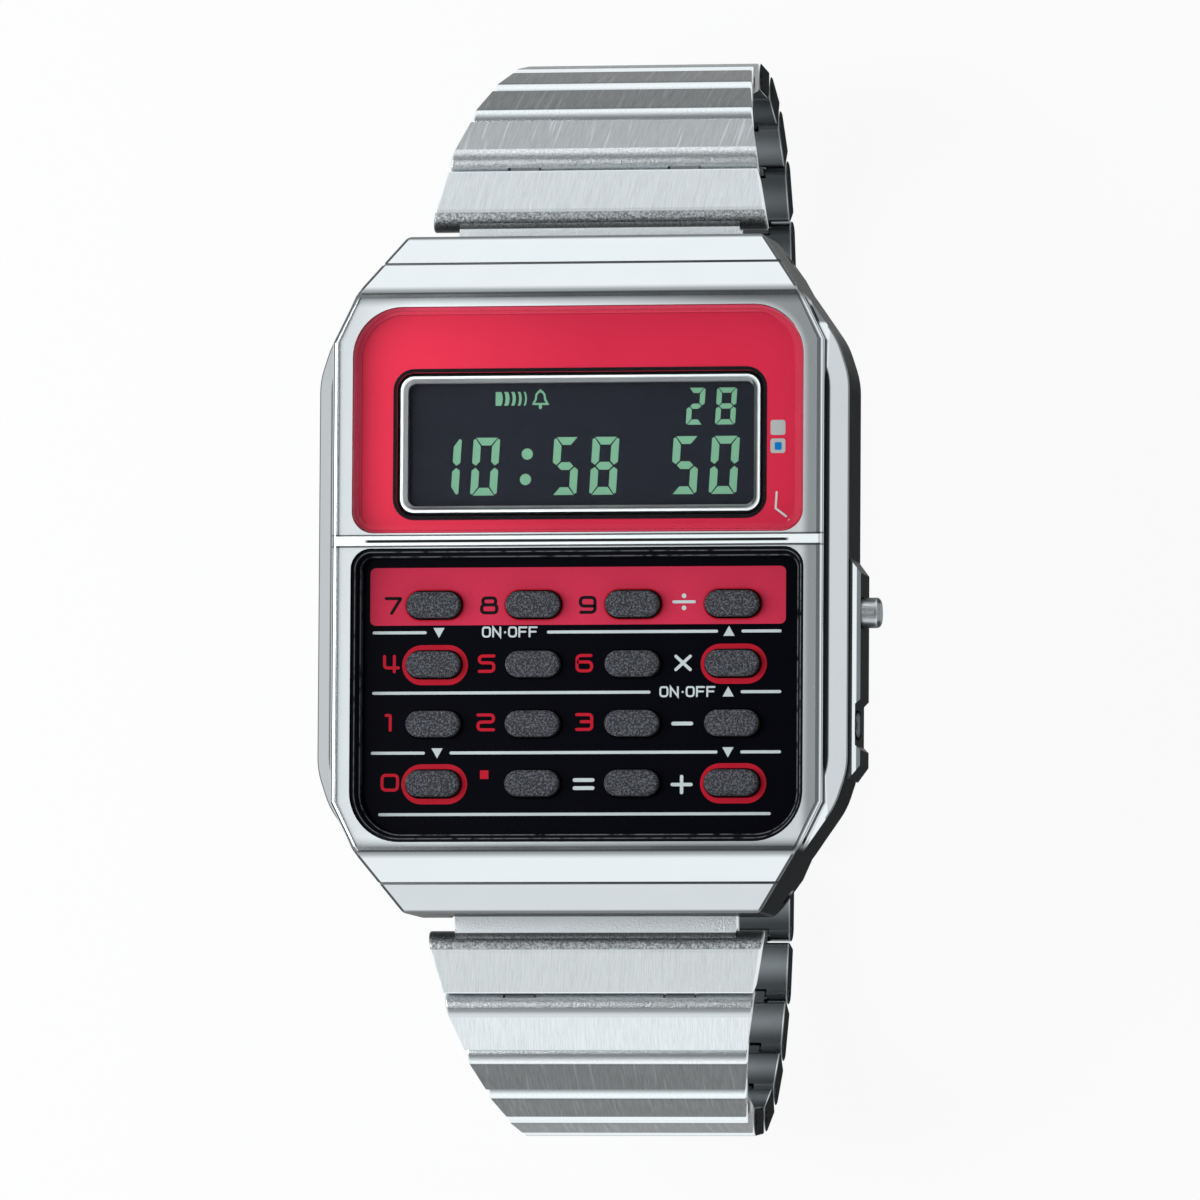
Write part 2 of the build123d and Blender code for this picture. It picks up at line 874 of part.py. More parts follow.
# Strap under the battery, with its feet on the module frame
clip_bend = battery_diameter - clip_thickness
with BuildPart() as battery_clip:
    with BuildSketch(level(module_low - clip_thickness)):
        with Locations((0, battery_y)):
            Rectangle(clip_width, clip_bend + 2 * clip_foot)
    extrude(amount=battery_low - module_low + clip_thickness)
    with BuildSketch(level(module_low)):
        with Locations((0, battery_y)):
            Rectangle(clip_width, clip_bend + 2 * clip_foot)
            Rectangle(clip_width, clip_bend, mode=Mode.SUBTRACT)
    extrude(amount=battery_low, mode=Mode.SUBTRACT)
    with BuildSketch(level(battery_low - clip_thickness)):
        with Locations((0, battery_y)):
            Rectangle(clip_width, clip_bend - 2 * clip_thickness)
    extrude(amount=-battery_low, mode=Mode.SUBTRACT)
save(battery_clip.part, "battery_clip")

# Buzzer disc on the inside of the back cover
with BuildPart() as buzzer:
    with BuildSketch(level(cover_thickness)):
        with Locations((0, battery_y)):
            Circle(buzzer_diameter / 2)
    extrude(amount=buzzer_thickness)
save(buzzer.part, "buzzer")

# Side buttons: head, stem and the retainer inside the case
button_travels = (0.6, 0.3)
for index, ((y, z), end, diameter) in enumerate(zip(side_places, button_ends, button_diameters)):
    with BuildPart() as button:
        with BuildSketch(Plane.YZ.offset(button_head_back)):
            with Locations((y, z)):
                Circle(diameter / 2)
        extrude(amount=end - button_head_back)
        fillet(faces().sort_by(Axis.X)[-1].edges(), diameter / 6)
        stem_start = cavity_half_width - run_gap - retainer_thickness
        with BuildSketch(Plane.YZ.offset(stem_start)):
            with Locations((y, z)):
                Circle(stem_diameter / 2)
        extrude(amount=button_head_back - stem_start)
        with BuildSketch(Plane.YZ.offset(stem_start)):
            with Locations((y, z)):
                Circle(stem_diameter / 2 + retainer_thickness)
        extrude(amount=retainer_thickness)
    save(button.part, f"side_button_{index + 1}")

# Seal rings on the stems
with BuildPart() as button_seals:
    for y, z in side_places:
        ring_x = button_bore_floor + seal_wire / 2 + seat_gap / 2
        ring_radius = stem_diameter / 2 + seal_wire / 2 + seat_gap / 2
        with BuildSketch(Plane((ring_x, y + ring_radius, z), x_dir=(1, 0, 0), z_dir=(0, 0, 1))):
            Circle(seal_wire / 2)
        revolve(axis=Axis((0, y, z), (1, 0, 0)))
save(button_seals.part, "button_seals")

# Spring bars between the lugs
with BuildPart() as spring_bars:
    bar_half = tongue_half_width + tongue_gap - seat_gap
    tip_end = end_half_width - spring_bar_tip_inset
    for way in (1, -1):
        with BuildSketch(Plane.YZ):
            with Locations((way * spring_bar_y, back_level + spring_bar_height)):
                Circle(spring_bar_diameter / 2)
        extrude(amount=bar_half, both=True)
        with BuildSketch(Plane.YZ):
            with Locations((way * spring_bar_y, back_level + spring_bar_height)):
                Circle(spring_bar_tip / 2)
        extrude(amount=tip_end, both=True)
save(spring_bars.part, "spring_bars")


def link_plane(way, index):
    """Section plane of a link: its x runs along the bracelet, its y outwards."""
    slope = radians(link_slopes[index])
    y, height = chain[index]
    return Plane(
        (0, way * y, back_level + height),
        x_dir=(0, way * cos(slope), -sin(slope)),
        z_dir=(way, 0, 0),
    )


def plan_plane(way, index):
    """Plane of a link's plate, seen from outside: its y runs along the bracelet."""
    slope = radians(link_slopes[index])
    y, height = chain[index]
    return Plane(
        (0, way * y, back_level + height),
        x_dir=(way, 0, 0),
        z_dir=(0, way * sin(slope), cos(slope)),
    )


# Links, the twelve side and the six side mirrored
plate_end = link_pitch - link_inner - link_gap
ear_length = link_inner + link_gap + 2 * ear_radius
# Where an ear's round leaves off and its top slopes down to the plate
ear_touch = ear_radius * sqrt(2) / 2
for way, side in ((1, "12"), (-1, "6")):
    for index in range(len(link_slopes)):
        near_width = link_widths[index]
        far_width = link_widths[index + 1]
        taper = (near_width - far_width) / 2 / (plate_end + link_inner) * overrun
        section = link_plane(way, index)
        outside = plan_plane(way, index)
        # The first nose stands back from the case
        nose_x = 0 if index > 0 else first_nose_inset
        with BuildPart() as link:
            # Plate with its rounded nose over the hinge
            with BuildSketch(section):
                with BuildLine():
                    Polyline(
                        (nose_x + link_outer - link_inner, link_outer),
                        (plate_end, link_outer),
                        (plate_end, link_inner_round - link_inner),
                    )
                    RadiusArc(
                        (plate_end, link_inner_round - link_inner),
                        (plate_end - link_inner_round, -link_inner),
                        link_inner_round,
                    )
                    Line((plate_end - link_inner_round, -link_inner), (nose_x, -link_inner))
                    RadiusArc((nose_x, -link_inner), (nose_x - link_inner, 0), link_inner)
                    RadiusArc(
                        (nose_x - link_inner, 0),
                        (nose_x + link_outer - link_inner, link_outer),
                        link_outer,
                    )
                make_face()
            extrude(amount=near_width / 2, both=True)
            # Taper of the plate
            with BuildSketch(outside):
                with BuildLine():
                    Polyline(
                        (near_width / 2 + taper, -link_inner - overrun),
                        (far_width / 2 - taper, plate_end + overrun),
                        (taper - far_width / 2, plate_end + overrun),
                        (-near_width / 2 - taper, -link_inner - overrun),
                        close=True,
                    )
                make_face()
            extrude(amount=link_pitch, both=True, mode=Mode.INTERSECT)
            plate_face = faces().sort_by(Axis(outside.origin, outside.z_dir))[-1]
            plate_edges = [
                e for e in plate_face.edges()
                if section.to_local_coords(e.center()).X > nose_x + link_outer - link_inner + seat_gap
            ]
            fillet(plate_edges, link_edge_round)
            # Room for the ears of the link before, under the hood of the nose
            ear_room = ear_out - ear_in + 2 * ear_side_gap
            if index > 0:
                room_radius = ear_radius + hood_clear
                room_touch = room_radius * sqrt(2) / 2
                room_end = -link_inner - link_gap
                for hand in (1, -1):
                    ear_middle = hand * (ear_in + ear_out) / 2
                    with BuildSketch(section.offset(ear_middle)):
                        Circle(room_radius)
                        with BuildLine():
                            Polyline(
                                (0, 0),
                                (-room_touch, room_touch),
                                (room_end, 2 * room_touch + room_end),
                                (room_end, -link_inner - room_radius),
                                (hood_clear, -link_inner - room_radius),
                                close=True,
                            )
                        make_face()
                    extrude(amount=ear_room / 2, both=True, mode=Mode.SUBTRACT)
            else:
                # Tongue between the lugs
                bar = section.to_local_coords(
                    Vector(0, way * spring_bar_y, back_level + spring_bar_height)
                )
                with BuildSketch(section):
                    SlotCenterPoint((bar.X / 2, bar.Y / 2), (bar.X, bar.Y), tongue_height)
                extrude(amount=tongue_half_width, both=True)
                with BuildSketch(section):
                    with Locations((bar.X, bar.Y)):
                        Circle(spring_bar_diameter / 2 + seat_gap)
                extrude(amount=near_width, both=True, mode=Mode.SUBTRACT)
            # Ears for the next pin
            for hand in (1, -1):
                ear_middle = hand * (ear_in + ear_out) / 2
                with BuildSketch(section.offset(ear_middle)):
                    with Locations((link_pitch, 0)):
                        Circle(ear_radius)
                    with BuildLine():
                        Polyline(
                            (link_pitch, 0),
                            (link_pitch - ear_touch, ear_touch),
                            (plate_end, 2 * ear_touch - link_inner - link_gap),
                            (plate_end - ear_radius, 2 * ear_touch - link_inner - link_gap),
                            (plate_end - ear_radius, -ear_radius),
                            (link_pitch, -ear_radius),
                            close=True,
                        )
                    make_face()
                extrude(amount=(ear_out - ear_in) / 2, both=True)
            with BuildSketch(section):
                with Locations((link_pitch, 0)):
                    Circle(pin_diameter / 2 + seat_gap)
            extrude(amount=ear_out + overrun, both=True, mode=Mode.SUBTRACT)
            if index > 0:
                with BuildSketch(section):
                    with Locations((0, 0)):
                        Circle(pin_diameter / 2)
                extrude(amount=near_width, both=True, mode=Mode.SUBTRACT)
                with BuildSketch(section):
                    with Locations((0, 0)):
                        Circle(pin_diameter / 2)
                extrude(amount=near_width / 2 - pin_end_gap, both=True)
        save(link.part, f"link_{side}_{index + 1:02d}")

# Clasp: inner leaf, hinged to the last link of the twelve side and to the fold
fold_room = fold_radius + 2 * run_gap
with BuildPart() as clasp_inner_leaf:
    with BuildSketch(Plane.XY.offset(inner_leaf_low)):
        with Locations((0, (fold_y + fold_room + clasp_half_length - ear_length) / 2)):
            Rectangle(
                2 * leaf_half_width, clasp_half_length - ear_length - fold_y - fold_room
            )
    extrude(amount=leaf_thickness)
    with BuildSketch(Plane.YZ):
        with Locations((fold_y, fold_height)):
            Circle(fold_radius)
        with BuildLine():
            Polyline(
                (fold_y, fold_height),
                (fold_y, inner_leaf_low + leaf_thickness - run_gap),
                (fold_y + 2 * fold_room, inner_leaf_low + leaf_thickness - run_gap),
                (fold_y + 2 * fold_room, inner_leaf_low),
                (fold_y + fold_radius, inner_leaf_low),
                close=True,
            )
        make_face()
    extrude(amount=fold_barrel_half, both=True)
    with BuildSketch(Plane.YZ):
        with Locations((clasp_half_length, clasp_pin_height)):
            Circle(clasp_barrel_radius)
        with BuildLine():
            Polyline(
                (clasp_half_length - 2 * ear_length, inner_leaf_low + leaf_thickness),
                (clasp_half_length - ear_length / 2, inner_leaf_low + leaf_thickness),
                (clasp_half_length + clasp_barrel_radius / 2, clasp_pin_height + ear_radius),
                (clasp_half_length, clasp_pin_height - ear_radius),
                (clasp_half_length - ear_length / 2, inner_leaf_low),
                (clasp_half_length - 2 * ear_length, inner_leaf_low),
                close=True,
            )
        make_face()
    extrude(amount=clasp_barrel_half, both=True)
    with BuildSketch(Plane.YZ):
        with Locations((fold_y, fold_height)):
            Circle(fold_pin / 2)
    extrude(amount=leaf_half_width, both=True, mode=Mode.SUBTRACT)
    with BuildSketch(Plane.YZ):
        with Locations((fold_y, fold_height)):
            Circle(fold_pin / 2)
    extrude(amount=leaf_half_width, both=True)
    with BuildSketch(Plane.YZ):
        with Locations((clasp_half_length, clasp_pin_height)):
            Circle(pin_diameter / 2)
    extrude(amount=leaf_half_width, both=True, mode=Mode.SUBTRACT)
    with BuildSketch(Plane.YZ):
        with Locations((clasp_half_length, clasp_pin_height)):
            Circle(pin_diameter / 2)
    extrude(amount=ear_out + run_gap, both=True)
save(clasp_inner_leaf.part, "clasp_inner_leaf")

# Clasp: middle leaf, folded between the other two
with BuildPart() as clasp_middle_leaf:
    with BuildSketch(Plane.XY.offset(middle_leaf_low)):
        with Locations((0, (fold_y + turn_y) / 2)):
            Rectangle(2 * leaf_half_width, turn_y - fold_y)
    extrude(amount=leaf_thickness)
    with BuildSketch(Plane.YZ):
        with Locations((fold_y, fold_height)):
            Circle(fold_radius)
        with BuildLine():
            Polyline(
                (fold_y - fold_radius, fold_height),
                (fold_y + fold_radius, fold_height),
                (fold_y + fold_room, middle_leaf_low + leaf_thickness),
                (fold_y + fold_room, middle_leaf_low),
                (fold_y - fold_radius / 2, middle_leaf_low),
                close=True,
            )
        make_face()
        with Locations((turn_y, turn_height)):
            Circle(turn_radius)
    extrude(amount=leaf_half_width, both=True)
    with BuildSketch(Plane.YZ):
        with Locations((fold_y, fold_height)):
            Circle(fold_room)
    extrude(amount=fold_barrel_half + run_gap, both=True, mode=Mode.SUBTRACT)
    with BuildSketch(Plane.YZ):
        with Locations((fold_y, fold_height)):
            Circle(fold_pin / 2 + seat_gap)
    extrude(amount=leaf_half_width + overrun, both=True, mode=Mode.SUBTRACT)
    with BuildSketch(Plane.YZ):
        with Locations((turn_y, turn_height)):
            Circle(turn_pin / 2 + seat_gap)
    extrude(amount=leaf_half_width + overrun, both=True, mode=Mode.SUBTRACT)
save(clasp_middle_leaf.part, "clasp_middle_leaf")

# Clasp: cover, a shallow channel whose end barrel takes the six side's last link
with BuildPart() as clasp_cover:
    cover_end_y = turn_y + clasp_end_round
    with BuildSketch(Plane.YZ):
        with BuildLine():
            Polyline(
                (fold_y - cheek_swing - overrun, 0),
                (cover_end_y, 0),
                (cover_end_y, cheek_top),
                (fold_y - cheek_swing - overrun, cheek_top),
                close=True,
            )
        make_face()
        fillet(vertices().group_by(Axis.X)[-1], clasp_end_round)
    extrude(amount=cheek_out, both=True)
    fillet(faces().sort_by(Axis.Z)[0].edges().filter_by(Axis.Y), clasp_edge_round)
    with BuildSketch(Plane.XY.offset(clasp_floor)):
        with Locations((0, 0)):
            Rectangle(2 * cheek_in, 4 * clasp_half_length)
    extrude(amount=cheek_top + overrun, mode=Mode.SUBTRACT)
    # Ends of the channel, clear of the last link as the cover swings
    with BuildSketch(Plane.YZ):
        with Locations((fold_y, fold_height)):
            Circle(cheek_swing)
        with Locations(((fold_y + cover_end_y) / 2, cheek_top / 2)):
            Rectangle(cover_end_y - fold_y, cheek_top)
    extrude(amount=cheek_out, both=True, mode=Mode.INTERSECT)
    # Tongue with the barrel between the last link's ears
    with BuildSketch(Plane.YZ):
        with Locations((fold_y, fold_height)):
            Circle(tongue_swing)
        with BuildLine():
            Polyline(
                (fold_y - tongue_swing - overrun, 0),
                (fold_y, 0),
                (fold_y, clasp_floor),
                (fold_y - fold_room - seat_gap, clasp_floor),
                (-clasp_half_length + clasp_barrel_radius, clasp_pin_height),
                (-clasp_half_length, clasp_pin_height + clasp_barrel_radius),
                (fold_y - tongue_swing - overrun, clasp_pin_height + clasp_barrel_radius),
                close=True,
            )
        make_face(mode=Mode.INTERSECT)
    extrude(amount=clasp_barrel_half, both=True)
    with BuildSketch(Plane.YZ):
        with Locations((-clasp_half_length, clasp_pin_height)):
            Circle(clasp_bar_diameter / 2)
    extrude(amount=cheek_out, both=True, mode=Mode.SUBTRACT)
    with BuildSketch(Plane.YZ):
        with Locations((-clasp_half_length, clasp_pin_height)):
            Circle(clasp_bar_diameter / 2)
    extrude(amount=clasp_barrel_half, both=True)
    # Pin of the turn, in the cheeks
    with BuildSketch(Plane.YZ):
        with Locations((turn_y, turn_height)):
            Circle(turn_pin / 2)
    extrude(amount=cheek_out + overrun, both=True, mode=Mode.SUBTRACT)
    with BuildSketch(Plane.YZ):
        with Locations((turn_y, turn_height)):
            Circle(turn_pin / 2)
    extrude(amount=cheek_out, both=True)
    # Adjusting holes in the cheeks
    with BuildSketch(Plane.YZ):
        for count in range(adjust_hole_count):
            with Locations((adjust_hole_y + count * adjust_hole_pitch, clasp_pin_height)):
                Circle(adjust_hole_diameter / 2)
    extrude(amount=cheek_out + overrun, both=True, mode=Mode.SUBTRACT)
save(clasp_cover.part, "clasp_cover")
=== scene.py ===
"""Calculator watch on a linked steel bracelet: finishes, prints, display and studio."""
import math

import bmesh
import bpy
from mathutils import Matrix, Vector


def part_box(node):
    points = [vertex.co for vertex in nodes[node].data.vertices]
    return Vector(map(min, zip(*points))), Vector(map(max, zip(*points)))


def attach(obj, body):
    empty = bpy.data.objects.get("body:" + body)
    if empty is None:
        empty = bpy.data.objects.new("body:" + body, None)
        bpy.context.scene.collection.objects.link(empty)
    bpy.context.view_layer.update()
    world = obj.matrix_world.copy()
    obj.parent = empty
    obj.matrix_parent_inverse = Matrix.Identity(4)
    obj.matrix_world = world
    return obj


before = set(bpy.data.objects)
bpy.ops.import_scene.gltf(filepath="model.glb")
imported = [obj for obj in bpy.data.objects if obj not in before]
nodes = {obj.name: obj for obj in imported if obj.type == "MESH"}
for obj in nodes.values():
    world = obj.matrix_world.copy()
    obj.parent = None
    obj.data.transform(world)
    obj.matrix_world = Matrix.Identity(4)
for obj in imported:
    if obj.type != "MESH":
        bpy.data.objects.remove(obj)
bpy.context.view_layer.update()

# A millimetre in metres, and how high the back cover lies over the ground. Lengths are in
# millimetres, heights are above the back cover and places are from the dial's middle, unless a
# comment says otherwise.
MM = 0.001
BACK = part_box("back_cover")[0].z / MM

# Case
CROWN_TOP = 7.9
CROWN_EDGE_X = 15.73
SHOULDER_X = 14.3
SHOULDER_Y = 17.5
SATIN_HEIGHT = 7.75
FACET_TOP = 6.50
FACET_LOW = 5.33
RIB_Y = 1.96
GROOVE_Y = 19.65
# Openings: half width, top, low side, radius of the upper and of the lower corners
WINDOW_OPENING = (14.45, 16.82, 2.45, 3.2, 1.4)
KEYPAD_OPENING = (14.5, 1.5, -17.1, 1.3, 3.2)
# Linear colour of the dark reflection painted on steep steel faces as painted shade
SHADE_TINT = (0.04, 0.048, 0.05, 1.0)

# Links of a side, from the case outwards: slopes in degrees, then shades as linear greys. The
# shades are painted light and shade: each link's flats and nose lighter or darker by how it faces
# the light; the nose grain also sets a painted shade where the nose curves under
SLOPES = (23, 47, 62, 71, 81, 94, 114, 133, 151, 166, 178)
PITCH = 4.3
FIRST_PIN = (22.85, -0.81)
HALF_WIDTHS = [10.875 * share for share in (1, 0.92, 0.841, 0.777, 0.722) + (0.699,) * 7]
HIDDEN_PAINTED_SHADES = (0.26, 0.34, 0.42, 0.50, 0.56, 0.60, 0.62)
UPPER_PAINTED_SHADES = (0.96, 0.50, 0.21, 0.19) + HIDDEN_PAINTED_SHADES
LOWER_PAINTED_SHADES = (1.00, 0.90, 0.22, 0.21) + HIDDEN_PAINTED_SHADES
NOSE_SHADES = (0.62, 0.95, 0.97, 0.97, 0.96, 0.94, 0.92) + (0.90,) * 4
NOSE_GRAIN_AND_SHADE = (0.9, 0.4, 0.12, 0.06) + (0.05,) * 7

KEY_NAMES = (
    ("7", "8", "9", "divide"),
    ("4", "5", "6", "times"),
    ("1", "2", "3", "minus"),
    ("0", "point", "equals", "plus"),
)
# How far a print lies over its face, and how much further over another print
PRINT_LIFT = 0.012
COAT = 0.012


class Value:
    """A number that changes over a surface, for use in sums."""

    def __init__(self, finish, socket):
        self.finish = finish
        self.socket = socket

    def sum_up(self, operation, first, second):
        return self.finish.node("Math", {"operation": operation}, {0: first, 1: second})

    def __add__(self, other):
        return self.sum_up("ADD", self, other)

    def __radd__(self, other):
        return self.sum_up("ADD", other, self)

    def __sub__(self, other):
        return self.sum_up("SUBTRACT", self, other)

    def __rsub__(self, other):
        return self.sum_up("SUBTRACT", other, self)

    def __mul__(self, other):
        return self.sum_up("MULTIPLY", self, other)

    def __neg__(self):
        return self.sum_up("MULTIPLY", self, -1.0)

    def __abs__(self):
        return self.sum_up("ABSOLUTE", self, 0.0)

    def over(self, edge, soft=0.02):
        """One above the edge, zero below it, with a soft step."""
        settings = {"interpolation_type": "SMOOTHSTEP", "clamp": True}
        inputs = {0: self, 1: edge - soft, 2: edge + soft, 3: 0.0, 4: 1.0}
        return self.finish.node("MapRange", settings, inputs)

    def under(self, edge, soft=0.02):
        return 1 - self.over(edge, soft)

    def between(self, low, high, soft=0.02):
        return self.over(low, soft) * self.under(high, soft)

    def least(self, other):
        return self.sum_up("MINIMUM", self, other)

    def most(self, other):
        return self.sum_up("MAXIMUM", self, other)


class Shading:
    """The nodes of one material or of the world."""

    def __init__(self, owner, place):
        owner.use_nodes = True
        self.tree = owner.node_tree
        self.tree.nodes.clear()
        self.place = self.node("TexCoord", output=place)
        split = self.node("SeparateXYZ", None, {0: self.place}, output=None)
        self.axes = [Value(self, socket) for socket in split.outputs]

    def node(self, kind, settings=None, inputs=None, output=0):
        """Adds a node: settings first, then the values and links of its sockets."""
        made = self.tree.nodes.new("ShaderNode" + kind)
        for name, value in (settings or {}).items():
            setattr(made, name, value)
        for name, value in (inputs or {}).items():
            socket = made.inputs[name]
            if isinstance(value, Value):
                self.tree.links.new(value.socket, socket)
            elif isinstance(value, (tuple, list)) and len(value) == 3 and socket.type == "RGBA":
                socket.default_value = (*value, 1.0)
            else:
                socket.default_value = value
        if output is None:
            return made
        return Value(self, made.outputs[output])

    def mix(self, factor, first, second):
        inputs = {0: factor, 6: first, 7: second}
        return self.node("Mix", {"data_type": "RGBA"}, inputs, output=2)


class Finish(Shading):
    """A material under construction."""

    def __init__(self, name):
        self.material = bpy.data.materials.new(name)
        super().__init__(self.material, "Object")
        self.x, self.y, self.z = (axis * (1 / MM) for axis in self.axes)
        self.height = self.z - BACK

    def spot(self, x=1.0, y=1.0, z=1.0):
        """Object coordinates in millimetres, each axis with its own stretch."""
        stretch = (x / MM, y / MM, z / MM)
        return self.node("VectorMath", {"operation": "MULTIPLY"}, {0: self.place, 1: stretch})

    def noise(self, at, scale, detail=2.0, rough=0.5):
        inputs = {"Vector": at, "Scale": scale, "Detail": detail, "Roughness": rough}
        return self.node("TexNoise", None, inputs)

    def cells(self, at, scale):
        return self.node("TexVoronoi", {"feature": "F1"}, {"Vector": at, "Scale": scale})

    def bump(self, height, distance, strength):
        inputs = {"Strength": strength, "Distance": distance * MM, "Height": height}
        return self.node("Bump", None, inputs)

    def surface(self, **sockets):
        """The Principled shader; underscores in socket names stand for spaces."""
        inputs = {name.replace("_", " "): value for name, value in sockets.items()}
        return self.node("BsdfPrincipled", None, inputs)

    def inset(self, half_width, top, low, radius):
        """How far a point lies inside a rectangle with round corners, up to their radius."""
        reach_x = (abs(self.x) - (half_width - radius)).most(0.0)
        reach_y = (abs(self.y - (top + low) / 2) - ((top - low) / 2 - radius)).most(0.0)
        outward = reach_x * reach_x + reach_y * reach_y
        return radius - outward.sum_up("POWER", outward, 0.5)

    def opening(self, half_width, top, low, top_radius, low_radius):
        """How far a point lies inside an opening whose upper and lower corners differ."""
        upper = self.y.over((top + low) / 2, 0.1)
        above = self.inset(half_width, top, low, top_radius)
        beneath = self.inset(half_width, top, low, low_radius)
        return above * upper + beneath * (1 - upper)

    def shaded_steel(self, cloud, low, high, rough):
        """Steel painted dark, its reflection tinted dark too: painted shade on steep faces."""
        return self.surface(
            Base_Color=self.mix(cloud, grey(low), grey(high)),
            Metallic=1.0,
            Roughness=rough,
            Specular_Tint=SHADE_TINT,
        )

    def blend(self, factor, first, second):
        """Two shaders, the second where the factor is one."""
        return self.node("MixShader", None, {0: factor, 1: first, 2: second})

    def done(self, shader):
        self.node("OutputMaterial", None, {"Surface": shader}, output=None)
        return self.material


def grey(value):
    """A cool neutral of that linear brightness."""
    return (value * 0.94, value, min(value * 1.025, 1.0))


def case_chrome():
    """Bright plated case: satin fields round the openings, side walls painted darker as painted
    shade.
    """
    f = Finish("case_chrome")
    out_x, out_y = abs(f.x), abs(f.y)
    cloud = f.noise(f.spot(), 0.25, 3.0)
    blast = f.noise(f.spot(), 11.0, 3.0, 0.6)
    specks = f.cells(f.spot(), 2.2).under(0.05, 0.02)

    # Faces, from the top of the crown down to the back cover
    rib = f.y.between(RIB_Y - 0.28, RIB_Y + 0.28, 0.03) * f.height.over(7.85, 0.02)
    satin = f.height.between(SATIN_HEIGHT - 0.05, SATIN_HEIGHT + 0.05, 0.015)
    satin = satin * out_y.under(SHOULDER_Y, 0.05)
    fold_shade = out_y.between(17.40, 17.98, 0.20) * f.height.over(7.2, 0.05)
    rise = f.height.between(FACET_TOP, 7.55, 0.05) * out_y.under(17.2, 0.3)
    facet = f.height.between(FACET_LOW + 0.02, FACET_TOP, 0.03) * out_x.over(15.76, 0.03)
    wall = f.height.under(FACET_LOW, 0.06)
    below = f.height.under(0.45, 0.05)

    # Painted shade: satin darker away from the window, on the right and round the upper right
    # corner
    corner = f.opening(*WINDOW_OPENING).under(-0.1, 0.3)
    corner = corner * f.x.over(8.0, 6.0) * f.y.over(11.0, 2.0)
    shaded_brink = f.x.over(14.55, 0.35).most(corner) * satin

    # Slot and borders of the rib, grooves across the crown's slopes
    slot = f.y.between(RIB_Y - 0.12, RIB_Y + 0.06, 0.02) * out_x.under(13.5, 0.15)
    slot = slot * f.height.over(7.6, 0.03)
    border = abs(abs(f.y - RIB_Y) - 0.36).under(0.05, 0.02) * f.height.over(7.6, 0.03)
    groove = out_y.between(GROOVE_Y - 0.08, GROOVE_Y + 0.08, 0.01)
    groove = groove * f.height.between(4.9, 6.9, 0.03)

    # Painted shade: the case past its lower groove darker than at its upper end
    tone = f.mix((-f.y).over(GROOVE_Y + 0.08, 0.02), grey(0.86), grey(0.70))
    # Painted light: the satin lighter on the left and darker to the right, and a little darker at
    # its far left end
    tone = f.mix(satin, tone, f.mix(f.x.over(0.0, 12.0), grey(0.98), grey(0.72)))
    tone = f.mix(f.x.under(-12.0, 2.5) * satin, tone, grey(0.69))
    tone = f.mix(shaded_brink * 0.75, tone, grey(0.22))
    # Painted shade: the facets darker on the left than on the right
    tone = f.mix(facet, tone, f.mix(f.x.over(0.0, 1.0), grey(0.52), grey(0.66)))
    # Painted shade: a dark band along the crown's fold
    tone = f.mix(fold_shade * 0.8, tone, grey(0.20))
    tone = f.mix(cloud * 0.10, tone, grey(0.35))
    tone = f.mix(specks * satin * 0.5, tone, grey(0.90))
    tone = f.mix(rib, tone, grey(0.98))
    tone = f.mix(border * 0.8, tone, grey(0.05))

    # Dark lines painted as shade: the crown's outline at its ends and on its left, and the seams
    # of the facets
    past_end = (out_x - SHOULDER_X) * 0.81 + (out_y - SHOULDER_Y) * 0.587
    ends = past_end.over(-0.16, 0.02) + out_y.over(21.38, 0.02)
    ends = ends * out_y.over(17.9, 0.1) * f.height.over(5.0, 0.1)
    past_shoulder = (-f.x - SHOULDER_X) * 0.897 + (out_y - SHOULDER_Y) * 0.4423
    left = (-f.x - CROWN_EDGE_X).most(past_shoulder).between(-0.20, -0.07, 0.03)
    left = left * out_y.under(17.9, 0.1) * f.height.over(6.9, 0.05)
    seam = f.height.between(FACET_LOW, FACET_LOW + 0.10, 0.02)
    seam = seam + f.height.between(FACET_TOP - 0.10, FACET_TOP, 0.02)
    seam = seam * out_x.over(15.6) + f.height.between(6.25, 6.95, 0.05) * f.x.under(-15.3)
    tone = f.mix((ends + left + seam * 0.8).least(1.0) * 0.9, tone, grey(0.02))
    tone = f.mix(slot + groove, tone, grey(0.006))

    rough = 0.12 + satin * 0.40 + facet * 0.16 + wall * 0.14 + cloud * 0.05 + (slot + rib) * 0.4
    bump = f.bump(blast * (0.12 + satin), 0.006, 0.6)
    bright = f.surface(Base_Color=tone, Metallic=1.0 - slot, Roughness=rough, Normal=bump)
    shaded_steel = f.shaded_steel(cloud, 0.16, 0.24, 0.20 + cloud * 0.10)

    # Steep walls painted dark as painted shade, but not the bright edge of the button guard
    drop = CROWN_TOP - (out_y - 17.7) * 0.7105 - f.height
    side = drop.over(0.07, 0.03) * out_y.over(17.2, 0.5)
    tip = ((f.x * 0.89 + f.y * 0.455).over(21.09, 0.06) + f.y.over(15.8, 0.12)).least(1.0)
    tip = tip * f.x.over(14.6, 0.1) * f.height.under(6.55, 0.05)
    guard = (f.x + f.height).between(22.12, 22.30, 0.02) * f.x.between(17.20, 17.44, 0.02)
    dark = (wall * (1 - below) + rise * 0.9 + side + tip).least(1.0)
    return f.done(f.blend(dark * (1 - guard), bright, shaded_steel))


def clear_window():
    """Clear crystal, with light let through to what lies under it."""
    f = Finish("clear_window")
    haze = f.noise(f.spot(), 0.4, 2.0)
    glass = f.surface(
        Base_Color=(1.0, 1.0, 1.0),
        Roughness=0.01 + haze * 0.015,
        IOR=1.2,
        Transmission_Weight=1.0,
    )
    shadow = f.node("LightPath", output="Is Shadow Ray")
    scattered = f.node("LightPath", output="Is Diffuse Ray")
    open_air = f.node("BsdfTransparent", None, {"Color": (1.0, 1.0, 1.0)})
    return f.done(f.blend(shadow + scattered, glass, open_air))


